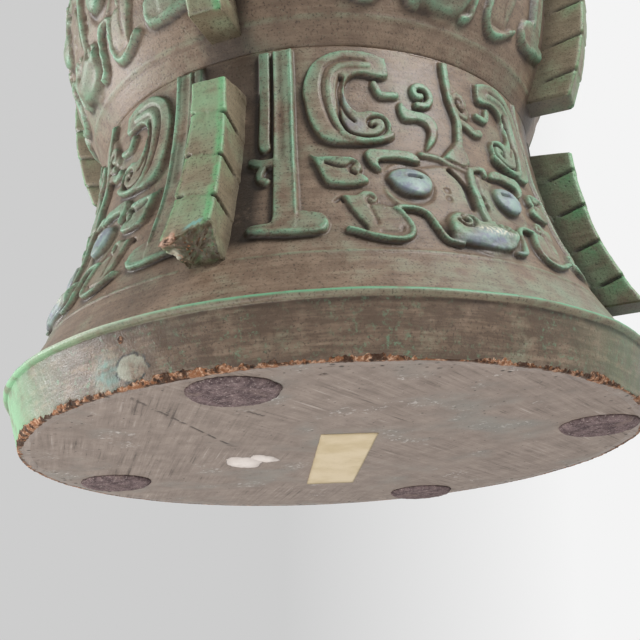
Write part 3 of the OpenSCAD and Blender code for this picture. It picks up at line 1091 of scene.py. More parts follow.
@dataclass(frozen=True)
class CastFinish:
    """Painted patina over a granular body, for the castings and flanges."""

    name: str
    patina: tuple[str, ...]
    amount: float
    band_brown: str = "524235"
    band_green: str = "6a8f72"
    rubbed_blue: str = "838799"
    rubbed_green: str = "94aaa4"
    sheen: Sheen = Sheen(0.4, 0.5, 0.0003)

    def make(self) -> Material:
        """Builds the material.

        Returns:
            The material.
        """
        g = SurfaceGraph(self.name)
        colours = dict(zip(PATINA_COLOURS, map(srgb, self.patina)))
        patina = g.use(patina_group(), colours | {"Amount": self.amount}).outputs
        core = g.use(core_group(), CORE_COLOURS).outputs
        sawn = g.use(sawn_group(), SAWN_COLOURS).outputs
        spot = g.place()
        mottle = g.noise(spot, 210.0, 5.0, 0.66)
        colour = self.stain_band(g, patina["Color"], spot, mottle)
        for coat in UNDERCOATS:
            colour = coat.lay(g, colour, mottle)
        worn = g.times(g.mask("worn"), g.band(mottle, 0.24, 0.56))
        tint = g.band(g.noise(spot, 330.0, 4.0, 0.7), 0.42, 0.6)
        colour = g.mix(worn, colour, g.mix(tint, srgb(self.rubbed_blue), srgb(self.rubbed_green)))
        for coat in TOP_COATS:
            colour = coat.lay(g, colour, mottle)
        ragged = g.times(g.minus(mottle, 0.5), 0.9)
        chip = g.band(g.plus(g.mask("chip"), ragged), 0.4, 0.6)
        colour = FRESH_BREAK.lay(g, g.mix(chip, colour, core["Color"]), mottle)
        colour = g.mix(g.mask("bare"), colour, sawn["Color"])
        rough = g.plus(patina["Roughness"], g.times(chip, 0.4), clamp=True)
        crumbs = g.times(g.times(core["Height"], chip), 3.0)
        return g.finish(colour, rough, g.plus(patina["Height"], crumbs), self.sheen)

    def stain_band(self, g: Graph, colour: Socket, spot: Socket, mottle: Socket) -> Socket:
        """Browns the plain band along its length and speckles it with green.

        Args:
            g: Graph of the material.
            colour: The patina's colour.
            spot: Places on the object.
            mottle: The mottle of the surface.

        Returns:
            The colour with the band's stains on it.
        """
        drawn = g.noise(g.drawn_place((0.16, 0.16, 2.0)), 460.0, 4.0, 0.7)
        brown = g.band(g.plus(mottle, drawn), 0.75, 1.15, 0.85)
        colour = g.mix(g.times(g.mask("band"), brown), colour, srgb(self.band_brown))
        speckle = g.band(g.noise(spot, 900.0, 4.0, 0.75), 0.52, 0.68, 0.7)
        speckle = g.times(speckle, g.band(g.noise(spot, 90.0, 4.0, 0.6), 0.38, 0.68))
        return g.mix(g.times(g.mask("band"), speckle), colour, srgb(self.band_green))


@dataclass(frozen=True)
class GroundFinish:
    """The ground underside of the base."""

    name: str = "ground_base"
    scratch: str = "2b2320"
    pit: str = "18110d"
    rough: float = 0.62
    sheen: Sheen = Sheen(0.35, 0.3, 0.0002)

    def make(self) -> Material:
        """Builds the material.

        Returns:
            The material.
        """
        g = SurfaceGraph(self.name)
        sawn = g.use(sawn_group(), SAWN_COLOURS).outputs
        colour = g.mix(g.mask("scratch"), sawn["Color"], srgb(self.scratch))
        colour = g.mix(g.mask("hollow"), colour, srgb(self.pit))
        return g.finish(colour, self.rough, sawn["Height"], self.sheen)


@dataclass(frozen=True)
class FeltFinish:
    """Pressed charcoal felt with pale stray fibres."""

    name: str = "felt"
    nap: tuple[str, str] = ("5b4d4e", "8c7977")
    gap: str = "3a3032"
    stray: str = "c0b0a9"
    dust: str = "958378"
    rough: float = 0.95
    sheen: Sheen = Sheen(0.1, 0.7, 0.0004)

    def make(self) -> Material:
        """Builds the material.

        Returns:
            The material.
        """
        g = SurfaceGraph(self.name)
        spot = g.place()
        fibres = g.noise(spot, 1800.0, 4.0, 0.75)
        matted = g.noise(spot, 320.0, 4.0, 0.7)
        dusty = g.noise(spot, 120.0, 3.0, 0.6)
        colour = g.mix(g.band(matted, 0.34, 0.66), *(srgb(k) for k in self.nap))
        colour = g.mix(g.band(fibres, 0.45, 0.32, 0.7), colour, srgb(self.gap))
        colour = g.mix(g.band(fibres, 0.55, 0.66, 0.85), colour, srgb(self.stray))
        colour = g.mix(g.band(dusty, 0.56, 0.7, 0.5), colour, srgb(self.dust))
        return g.finish(colour, self.rough, g.plus(g.times(fibres, 0.6), matted), self.sheen)


@dataclass(frozen=True)
class PlainFinish:
    """A matt, lightly clouded surface for the paper and the filler."""

    name: str
    colour: str
    cloud: str
    spots: str
    rough: float
    grain: float
    sheen: Sheen = Sheen(0.25, 0.25, 0.0002)

    def make(self) -> Material:
        """Builds the material.

        Returns:
            The material.
        """
        g = SurfaceGraph(self.name)
        spot = g.place()
        clouds = g.noise(spot, 70.0, 4.0, 0.6)
        fine = g.noise(spot, self.grain, 3.0, 0.6)
        colour = g.mix(g.band(clouds, 0.4, 0.68), srgb(self.colour), srgb(self.cloud))
        colour = g.mix(g.band(fine, 0.62, 0.76, 0.35), colour, srgb(self.spots))
        colour = g.mix(g.times(g.mask("edge"), 0.5), colour, srgb(self.spots))
        return g.finish(colour, self.rough, fine, self.sheen)


class Finishes:
    """Every finish of the vessel, made once."""

    def __init__(self) -> None:
        """Builds the materials."""
        browns = ("8c7865", "705d4d", "7c9a81", "78ad8c", "1a110a")
        greens = ("8d8069", "766a55", "819e7c", "66a872", "1c130c")
        paper = ("e8d6b6", "d8c49e", "b09c78")
        filler = ("f4eae2", "e3d6cb", "aea096")
        self.casting = CastFinish("patinated_casting", browns, 0.76).make()
        self.flange = CastFinish("patinated_flange", greens, 0.9).make()
        self.base = GroundFinish().make()
        self.felt = FeltFinish().make()
        self.paper = PlainFinish("label_paper", *paper, rough=0.9, grain=900.0).make()
        self.filler = PlainFinish("filler", *filler, rough=0.75, grain=1200.0).make()


@cache
def finishes() -> Finishes:
    """The vessel's finishes, made at the first call."""
    return Finishes()


def settle(piece: Piece, material: Material, slot: str, *nodes: str) -> None:
    """Dresses a piece and ties it to the frame.

    Args:
        piece: The piece, in place.
        material: Its finish.
        slot: Name of the material slot; not used.
        nodes: The nodes that it stands for.
    """
    piece.data.materials.append(material)
    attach(piece, BODY)
    if nodes:
        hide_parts(*nodes)
    LOG.info("%s: %d faces", piece.name, len(piece.data.polygons))


CAST_MASKS = (
    "raised", "edge", "hollow", "band", "bead", "mint", "chip", "bare",
    "rim", "teal", "cream", "worn", "dried", "mark", "pale",
)
NEAR_SPREAD, EDGE_SPREAD, WIDE_SPREAD, PAINTED_SHADOW_SPREAD = 0.8, 1.3, 2.0, 0.5


def blank_masks(shape: tuple[int, ...]) -> Masks:
    """Every mask of a cast finish, empty."""
    return {key: np.zeros(shape) for key in CAST_MASKS}


def relief_masks(level: Array, across: float, along: float, height: float) -> Masks:
    """Works out what stands up, what is an edge, and the dirt and painted shade that darken what
    lies deep.

    Args:
        level: Heights of the carving over a grid that closes on itself.
        across: Columns in a millimetre.
        along: Rows in a millimetre, negative if they go down.
        height: Full height of the carving.

    Returns:
        The masks raised, edge and hollow, where hollow is dirt and painted shade in the recesses
        and a painted shadow below and left of each ledge.
    """
    spreads = (NEAR_SPREAD, EDGE_SPREAD, WIDE_SPREAD)
    near, edge, wide = (blurred(level, k * across, k * along) for k in spreads)
    # A copy of the carving moved down and left gives a painted shadow below and left of each ledge.
    shift = (-round(NEAR_SPREAD * along), -round(NEAR_SPREAD * across))
    under = blurred(np.roll(level, shift, (0, 1)), PAINTED_SHADOW_SPREAD * across, PAINTED_SHADOW_SPREAD * along)
    return {
        "raised": np.clip(level / height, 0, 1),
        "edge": np.clip((level - edge) / 0.6, 0, 1),
        # hollow: dirt and painted shade in the recesses, plus the painted shadow.
        "hollow": np.clip((near - level) / 0.6, 0, 1) * 0.4
        + np.clip((wide - level) / 1.2, 0, 1) * 0.25
        + np.clip((under - level) / 0.9, 0, 1) * 0.5,
    }


@dataclass(frozen=True)
class Spot:
    """A soft oval spot, in degrees from a flange and heights."""

    middle: float
    rise: float
    half: float
    tall: float
    share: float = 1.0

    def squared(self, degrees: Array, z: Array) -> Array:
        """Squared distance from the spot's middle, 1 at its rim."""
        return ((degrees - self.middle) / self.half) ** 2 + ((z - self.rise) / self.tall) ** 2


@dataclass
class Foot:
    """The flared foot with its masks, bead, plain band and broken lower edge."""

    base_r: float = 76.0
    plate_r: float = 73.15
    band_h: float = 12.0
    bead_r: float = 80.0
    bead_d: float = 2.4
    height: float = 80.0
    waist_r: float = 57.6
    curve_r: float = 130.0
    wall: float = 6.0
    plate_t: float = 5.0
    ledge_r: float = 69.0
    socket_r: float = 52.4
    socket_z: float = 73.8
    top_ring: float = 55.0
    inner_gap: float = 0.4
    bead_seen: float = 1.6
    bead_out: float = 0.1
    bead_arc: tuple[float, float, int] = (-108, 148, 14)
    rim_rings: tuple[float, ...] = (74.0, 74.7, 75.2, 75.6, 75.85)
    rim_step: float = 0.02
    columns: int = 1500
    row: float = 0.29
    band_row: float = 0.28
    wall_start: float = 0.8
    wall_mean_r: float = 67.0
    band_mean_r: float = 77.0
    relief: float = 2.0
    fade_in: Point = (13.5, 16)
    fade_out: Point = (78.6, 79.8)
    faint: tuple[Hump, ...] = ((0.75, 100, 6), (0.9, 81, 5))
    waves: tuple[Wave, ...] = ((0.16, 22.0, Seed.FOOT_WAVES), (0.05, 6.0, Seed.FOOT_GRAIN))
    mint_band: tuple[Hump, ...] = ((0.95, -50, 15), (0.18, 72, 12), (0.7, 196, 18), (0.4, 128, 9))
    mint_bead: tuple[Hump, ...] = ((0.7, -36, 20),)
    bead_highlight: tuple[Hump, ...] = ((0.85, -20, 14),)
    green_wall: tuple[Hump, ...] = ((1.0, 58, 30),)
    worn: tuple[Spot, ...] = (
        Spot(35.7, 42.0, 5.0, 4.4, 0.95),
        Spot(58.8, 42.0, 4.4, 4.4, 0.95),
        Spot(48.0, 27.2, 7.0, 1.8, 0.8),
        Spot(48.8, 30.0, 4.6, 1.8, 0.8),
        Spot(26.6, 57.4, 2.4, 2.4, 0.6),
        Spot(25.2, 64.0, 1.2, 4.0, 0.5),
    )
    # A painted highlight on the snout's crest, and painted shade under it.
    crest: Spot = Spot(49.2, 31.0, 3.6, 1.1, 1.5)
    chin: Spot = Spot(48.0, 27.0, 5.4, 1.0, 0.5)
    drop: Point = (-9.9, 3.6)
    drop_r: float = 3.3
    smear: Point = (-14.6, 3.4)
    pit: Point = (-11.2, 9.2)
    scores: tuple[tuple[Point, Point], ...] = (
        ((-30.4, 10.4), (-29.0, 4.0)),
        ((-28.6, 9.6), (-27.6, 5.4)),
        ((-31.6, 8.0), (-30.6, 3.6)),
    )
    break_h: float = 0.65
    break_waves: tuple[Wave, ...] = (
        (0.5, 17.0, Seed.RIM_WAVES), (0.35, 4.2, Seed.RIM_BREAKS), (0.28, 1.4, Seed.RIM_GRAIN),
    )
    break_spots: tuple[Hump, ...] = ((1.5, -42, 6), (0.5, 62, 9), (0.5, 4, 9))
    break_limits: Point = (0.25, 3.4)
    bite_share: float = 0.4
    bite_limits: Point = (0.12, 1.0)
    crumb: float = 0.1

    def __post_init__(self) -> None:
        """Finds the middle of the wall's hollow curve."""
        low = np.array((self.bead_r - self.bead_d, self.band_h))
        top = np.array((self.waist_r, self.height))
        way = (top - low) / np.linalg.norm(top - low)
        off = math.sqrt(self.curve_r**2 - (np.linalg.norm(top - low) / 2) ** 2)
        self.centre = (low + top) / 2 + off * np.array((way[1], -way[0]))

    def radius(self, z: Array) -> Array:
        """Radius of the wall at a height."""
        return self.centre[0] - np.sqrt(self.curve_r**2 - (z - self.centre[1]) ** 2)

    def outside(self) -> dict[Zone, list[Point]]:
        """Radius and height of the rings that show, from the base up to the waist.

        Returns:
            The rings of each zone.
        """
        bead_c = self.bead_r - self.bead_d / 2
        seen = self.bead_seen / 2
        lean = bead_c - self.base_r
        rim = (self.plate_r, self.plate_r + self.rim_step, *self.rim_rings)
        band = np.arange(0, self.band_h - seen, self.band_row)
        middle = bead_c + self.bead_out
        bead = np.radians(np.linspace(*self.bead_arc))
        wall = np.arange(self.band_h + self.wall_start, self.height, self.row)
        return {
            Zone.BASE: [(r, 0.0) for r in rim],
            Zone.BAND: [(self.base_r + lean * z / self.band_h, z) for z in band],
            Zone.BEAD: [
                (middle + seen * math.cos(t), self.band_h + seen * math.sin(t)) for t in bead
            ],
            Zone.WALL: [(float(self.radius(z)), z) for z in wall],
        }

    def inside(self) -> list[Point]:
        """Radius and height of the rings from the waist down to the base plate.

        Returns:
            The rings.
        """
        top = [(r, self.height) for r in (self.waist_r, self.top_ring, self.socket_r)]
        hollow = [
            (min(self.ledge_r, float(self.radius(z)) - self.wall - self.inner_gap), z)
            for z in np.linspace(self.socket_z, self.plate_t, 9)
        ]
        return [*top, (self.socket_r, self.socket_z), *hollow, (self.plate_r, self.plate_t)]

    def build(self, mask: Carving) -> None:
        """Makes the foot.

        Args:
            mask: The mask.
        """
        zones = self.outside() | {Zone.INSIDE: self.inside()}
        outline = [(r, z, float(k)) for k, line in zones.items() for r, z in line]
        r, z, zone = np.array(outline).T
        angle = columns_round(self.columns)
        radius = np.repeat(r[:, None], self.columns, axis=1)
        height = np.repeat(z[:, None], self.columns, axis=1)
        spots = around(radius, angle[None, :], height)
        wall = zone == Zone.WALL
        level = self.carve(mask, angle, height[wall])
        true = (zone == Zone.BASE) | (zone == Zone.INSIDE)
        radius += np.where(true[:, None], 0.0, uneven(spots, self.waves))
        radius[wall] += level
        made = blank_masks(radius.shape)
        self.colour_wall(made, spots[wall], angle, level, wall)
        self.colour_band(made, spots[zone == Zone.BAND], angle, zone)
        self.stain(made, spots[zone == Zone.BAND], angle, zone == Zone.BAND)
        self.break_edge(radius, height, angle, zone, made)
        piece = skin("foot_casting_visual", around(radius, angle[None, :], height), made, True)
        settle(piece, finishes().casting, "patinated_casting", "foot_casting")

    def carve(self, mask: Carving, angle: Array, z: Array) -> Array:
        """Carved height over the wall, fainter where the masks meet the right flange.

        Args:
            mask: The mask.
            angle: Angle of each column.
            z: Heights of the wall's grid.

        Returns:
            The height at each place.
        """
        level = mask.sample((angle % QUARTER)[None, :] + 0 * z, z)
        level = level * (smooth(z, *self.fade_in) * (1 - smooth(z, *self.fade_out)))
        for share, middle, spread in self.faint:
            level = level * (1 - share * bump_at(angle, middle, spread))
        return level

    def colour_wall(
        self, made: Masks, spots: Array, angle: Array, level: Array, wall: Array
    ) -> None:
        """Marks the relief, the darkening beside the flanges that is dirt and painted shade, what
        is rubbed on the masks, a painted highlight on the snout's crest and painted shade under it.

        Args:
            made: The foot's masks, changed in place.
            spots: Places of the wall's rings.
            angle: Angle of each column.
            level: Carved height over the wall's rings.
            wall: Which rings are the wall's.
        """
        z = spots[..., 2]
        across = self.columns / (math.tau * self.wall_mean_r)
        relief = relief_masks(level, across, 1 / self.row, self.relief)
        # Darkening beside the flanges and in the corner by the stem: dirt and painted shade.
        beside = smooth(from_flange(angle), 10.5, 5.0)[None, :]
        corner = beside * smooth(z, 24, 31) * (0.7 + 0.5 * smooth(z, 54, 46))
        green = 1.1 * smooth(z, 28, 20) * humps(angle, self.green_wall)
        made["raised"][wall] = np.clip(relief["raised"] + green, 0, 1)
        made["edge"][wall] = relief["edge"]
        made["hollow"][wall] = np.clip(relief["hollow"] + corner, 0, 1)
        turned = (angle % QUARTER)[None, :]
        worn = sum(k.share * np.exp(-k.squared(turned, z) ** 2) for k in self.worn)
        made["worn"][wall] = np.clip(worn, 0, 1) * smooth(level, 0.8, 1.6)
        # A painted highlight on the snout's crest, broken into glints.
        crest = np.exp(-self.crest.squared(turned, z)) * smooth(level, 0.8, 1.6)
        rub_and_glint = smooth(ripple(spots, 0.9, Seed.CREST), -0.2, 0.5)
        made["cream"][wall] = np.clip(self.crest.share * crest * rub_and_glint, 0, 1)
        # Painted shade under the snout, in patches.
        chin = np.exp(-self.chin.squared(turned, z)) * smooth(level, 0.4, 1.2)
        shade_patches = smooth(ripple(spots, 1.6, Seed.CHIN), -0.6, 0.5)
        made["mark"][wall] = self.chin.share * chin * shade_patches

    def colour_band(self, made: Masks, spots: Array, angle: Array, zone: Array) -> None:
        """Marks the bare rim, the plain band with a painted shadow under the bead, and the bead
        with a painted highlight.

        Args:
            made: The foot's masks, changed in place.
            spots: Places of the band's rings.
            angle: Angle of each column.
            zone: The zone of each ring.
        """
        rim, band, bead = (zone == k for k in (Zone.BASE, Zone.BAND, Zone.BEAD))
        made["bare"][rim] = 1.0
        made["rim"][rim] = 1.0
        made["band"][band] = 1.0
        mint = humps(angle, self.mint_band)
        made["mint"][band] = np.clip(mint, 0, 1)
        # A painted shadow on the band just under the bead.
        line = smooth(spots[..., 2], self.band_h - 2.4, self.band_h - 1.2)
        made["hollow"][band] = 0.8 * (line * smooth(ripple(spots, 6.0, Seed.BAND_LINE), -0.7, 0.3))
        made["bead"][bead] = np.exp(-(((np.linspace(*self.bead_arc) - 30) / 22) ** 2))[:, None]
        made["mint"][bead] = np.clip(humps(angle, self.mint_bead) + 0.5 * mint, 0, 1)
        # A painted highlight on the bead.
        made["cream"][bead] = humps(angle, self.bead_highlight) * made["bead"][bead]
        made["edge"][bead] = 0.2

    def stain(self, made: Masks, spots: Array, angle: Array, rings: Array) -> None:
        """Marks the dried drop, the blue-green smear, the fine scores and a pit on the band.

        Args:
            made: The foot's masks, changed in place.
            spots: Places of the band's rings.
            angle: Angle of each column.
            rings: Which rings are the band's.
        """
        z = spots[..., 2]
        turned = ((angle + TURN / 2) % TURN - TURN / 2)[None, :]
        degree = math.radians(self.band_mean_r)
        ragged = 0.35 * ripple(spots, 3.0, Seed.DROP_EDGE)
        across = (turned - self.drop[0]) * degree
        away = np.hypot(across * 0.86, (z - self.drop[1]) * 1.25) + ragged
        made["dried"][rings] = smooth(away, self.drop_r, self.drop_r - 0.5) * 0.7
        line = smooth(np.abs(away - self.drop_r), 0.42, 0.12)
        made["mark"][rings] = line * smooth(ripple(spots, 2.2, Seed.DROP_LINE), -0.6, 0.0)
        across = (turned - self.smear[0]) * degree
        smear = np.hypot(across / 1.5, (z - self.smear[1]) / 1.6) + 0.5 * ragged
        patchy = 0.36 + 0.3 * ripple(spots, 2.0, Seed.SMEAR)
        made["teal"][rings] = smooth(smear, 3.4, 0.5) * patchy
        for (x1, z1), (x0, z0) in self.scores:
            t = np.clip((z - z0) / (z1 - z0), 0, 1)
            gap = np.abs(turned - x0 - (x1 - x0) * t) * degree
            line = smooth(gap, 0.3, 0.1) * smooth(z, z1, z1 - 1) * smooth(z, z0, z0 + 1)
            made["cream"][rings] = np.maximum(made["cream"][rings], 0.14 * line)
        pit = np.hypot((turned - self.pit[0]) * degree, z - self.pit[1])
        made["chip"][rings] = smooth(pit, 0.9, 0.5)

    def break_edge(
        self, radius: Array, height: Array, angle: Array, zone: Array, made: Masks
    ) -> None:
        """Crumbles the lower edge of the band and the rim of the base.

        Args:
            radius: Radii of the grid, changed in place.
            height: Heights of the grid.
            angle: Angle of each column.
            zone: The zone of each ring.
            made: The foot's masks, changed in place.
        """
        reach = uneven(circle(angle) * self.base_r, self.break_waves, self.break_h)
        reach = np.clip(reach + humps(angle, self.break_spots), *self.break_limits)
        bite = np.clip(self.bite_share * reach, *self.bite_limits)
        edge = self.base_r - bite
        rng = np.random.default_rng(int(Seed.RIM_CRUMBS))
        rings = np.where((zone == Zone.BAND) | (zone == Zone.BASE))[0]
        for i in rings:
            crumbs = rng.normal(0, self.crumb, len(angle))
            if zone[i] == Zone.BAND:
                share = np.clip(height[i] / reach, 0, 1)
                broken = edge + (radius[i] - self.base_r + bite) * share**0.6 + crumbs * (share < 1)
                bare = 1 - smooth(height[i], 0.75 * reach, 1.05 * reach)
                made["chip"][i] = np.maximum(made["chip"][i], bare)
                radius[i] = np.minimum(radius[i], np.where(share < 1, broken, radius[i]))
            else:
                away = self.base_r - radius[i]
                made["chip"][i] = smooth(bite - away, -0.15, 0.35)
                made["bare"][i] *= 1 - made["chip"][i]
                radius[i] = np.minimum(radius[i], edge - self.rim_step * (len(rings) - i))


Ring = tuple[float, float, bool]


def plain_rings(*rings: Point) -> list[Ring]:
    """Rings of a casting that carry no carving."""
    return [(r, z, False) for r, z in rings]


@dataclass
class Shell:
    """A turned casting whose outer wall carries a carving."""

    name: str
    outline: list[Ring]
    carve: Callable[[Array, Array], Array]
    relief: float
    loop: bool
    columns: int = 720
    mean_r: float = 66.0

    def build(self) -> None:
        """Makes the casting."""
        rows = np.array(self.outline, float)
        angle = columns_round(self.columns)
        radius = np.repeat(rows[:, :1], self.columns, axis=1)
        height = np.repeat(rows[:, 1:2], self.columns, axis=1)
        outer = rows[:, 2] > 0
        level = self.carve(angle[None, :] + 0 * height[outer], height[outer])
        spots = around(radius, angle[None, :], height)
        radius[outer] += level + (ripple(spots, 24.0, Seed.SHELL_WAVES) * 0.15)[outer]
        made = blank_masks(radius.shape)
        across = self.columns / (math.tau * self.mean_r)
        step = float(np.median(np.diff(rows[outer, 1])))
        for key, value in relief_masks(level, across, 1 / step, self.relief).items():
            made[key][outer] = value
        # Painted shade darkens the wall beside each flange.
        beside = 0.7 * smooth(from_flange(angle), 8.0, 4.0)[None, :]
        made["hollow"][outer] = np.clip(made["hollow"][outer] + beside, 0, 1)
        points = around(radius, angle[None, :], height)
        piece = skin(self.name + "_visual", points, made, self.loop)
        settle(piece, finishes().casting, "patinated_casting", self.name)


@dataclass
class Belly:
    """The swelling middle of the vessel, with its floor and its two joints."""

    low: float = 80.0
    high: float = 160.0
    low_r: float = 57.6
    high_r: float = 57.0
    swell: float = 11.0
    wall: float = 5.0
    floor: float = 5.0
    spigot_r: float = 52.1
    spigot_in: float = 47.1
    spigot_l: float = 6.0
    socket_r: float = 51.7
    socket_z: float = 151.3
    floor_rings: tuple[float, ...] = (0.0, 10, 25, 40, 50)
    under_rings: tuple[float, ...] = (30, 12, 0.0)
    row: float = 0.55
    relief: float = 2.0
    mask_span: Point = (84.0, 156.0)
    drawn_span: Point = (22.0, 80.0)
    fade_in: Point = (1, 5)
    fade_out: Point = (8, 5)
    faint: Hump = (0.85, 109, 8)
    faint_below: Point = (100, 95)

    def __post_init__(self) -> None:
        """Finds the circle of the wall."""
        chord = math.hypot(self.high - self.low, self.low_r - self.high_r)
        self.curve_r = ((chord / 2) ** 2 + self.swell**2) / (2 * self.swell)
        self.middle = (self.low + self.high) / 2
        self.centre_r = (self.low_r + self.high_r) / 2 + self.swell - self.curve_r

    def radius(self, z: Array, inset: float = 0.0) -> Array:
        """Radius of the wall at a height, or of a line inside it."""
        return self.centre_r + np.sqrt((self.curve_r - inset) ** 2 - (z - self.middle) ** 2)

    def carve(self, mask: Carving) -> Callable[[Array, Array], Array]:
        """The carving over the outer wall, fainter beside the right flange's lower end.

        Args:
            mask: The mask, stretched to the belly's height.

        Returns:
            A function of angle and height.
        """
        (low, high), (drawn_low, drawn_high) = self.mask_span, self.drawn_span
        ratio = (drawn_high - drawn_low) / (high - low)
        share, middle, spread = self.faint

        def level(angle: Array, z: Array) -> Array:
            """Carved height at an angle and a height.

            Args:
                angle: Degrees from the front flange.
                z: Height above the base face.

            Returns:
                The carved height.
            """
            drawn = drawn_low + (z - low) * ratio
            rising = smooth(z, *(self.low + k for k in self.fade_in))
            fade = rising * (1 - smooth(z, *(self.high - k for k in self.fade_out)))
            faint = bump_at(angle, middle, spread) * smooth(z, *self.faint_below)
            return mask.sample(angle % QUARTER, drawn) * fade * (1 - share * faint)

        return level

    def build(self, mask: Carving) -> None:
        """Makes the belly.

        Args:
            mask: The mask.
        """
        floor_z = self.low + self.floor
        foot_z = self.low - self.spigot_l
        inner = np.linspace(floor_z, self.socket_z, 26)
        outer = np.arange(self.high, self.low - 0.01, -self.row)
        rows = plain_rings(*((r, floor_z) for r in self.floor_rings))
        rows += plain_rings(*((float(self.radius(z, self.wall)), z) for z in inner))
        rows += plain_rings((self.socket_r, self.socket_z), (self.socket_r, self.high))
        rows += [(float(self.radius(z)), z, True) for z in outer]
        rows += plain_rings((self.spigot_r, self.low), (self.spigot_r, foot_z))
        rows += plain_rings((self.spigot_in, foot_z), (self.spigot_in, self.low))
        rows += plain_rings(*((r, self.low) for r in self.under_rings))
        Shell("belly_casting", rows, self.carve(mask), self.relief, False).build()


@dataclass
class Neck:
    """The trumpet neck with its rounded lip."""

    low: float = 160.0
    top: float = 290.0
    low_r: float = 57.0
    mouth_r: float = 115.0
    wall: float = 4.5
    lip_d: float = 6.0
    lip_arc: tuple[float, float, int] = (-62, 178, 20)
    lip_gap: float = 2.6
    spigot_r: float = 51.5
    spigot_in: float = 46.5
    spigot_l: float = 6.0
    row: float = 0.6
    relief: float = 1.8
    fade_in: Point = (0.8, 2.4)

    def __post_init__(self) -> None:
        """Finds the circle of the wall."""
        out = self.mouth_r - self.lip_d / 2 - self.low_r
        up = self.top - self.lip_d / 2 - self.low
        self.curve_r = (out**2 + up**2) / (2 * out)
        self.centre_r = self.low_r + self.curve_r

    def radius(self, z: Array, inset: float = 0.0) -> Array:
        """Radius of the wall at a height, or of a line inside it."""
        return self.centre_r - np.sqrt((self.curve_r + inset) ** 2 - (z - self.low) ** 2)

    def build(self, blade: Carving) -> None:
        """Makes the neck.

        Args:
            blade: Half of a leaf blade.
        """
        lip = self.lip_d / 2
        lip_z = self.top - lip
        lip_r = self.mouth_r - lip
        foot_z = self.low - self.spigot_l
        outer = np.arange(self.low, lip_z - self.lip_gap, self.row)
        turns = np.radians(np.linspace(*self.lip_arc))
        inner = np.linspace(lip_z - 1.5, self.low + self.wall + 1.0, 46)
        rows = plain_rings((self.spigot_in, foot_z), (self.spigot_r, foot_z))
        rows += plain_rings((self.spigot_r, self.low))
        rows += [(float(self.radius(z)), z, True) for z in outer]
        rows += plain_rings(
            *((lip_r + lip * math.cos(t), lip_z + lip * math.sin(t)) for t in turns)
        )
        rows += plain_rings(
            *((min(lip_r - lip, float(self.radius(z, self.wall))), z) for z in inner)
        )
        rows += plain_rings((self.spigot_in, self.low + self.wall))

        def level(angle: Array, z: Array) -> Array:
            """Carved height at a place."""
            rising = smooth(z, *(self.low + k for k in self.fade_in))
            return blade.sample(blade_degrees(angle), z) * rising

        Shell("neck_casting", rows, level, self.relief, True).build()


@dataclass
class FlangeGrid:
    """Places over a flange's surface, ring by ring.

    out and up are shares of the way, full is how much of the section a ring has, gap is the way
    to the outer face, width is the mean width, and teeth are counted from the top.
    """

    out: Array
    wide: Array
    z: Array
    full: Array
    up: Array
    r: Array
    gap: Array
    width: float
    teeth: Array = field(init=False)
    groove: Array = field(init=False)
    flank: Array = field(init=False)


PLAIN_END = np.array((0.0, 0.25, 0.5, 0.75, 0.92, 1.0))
BROKEN_END = np.linspace(0, 1, 12) ** 0.8
AT_END = 0.001


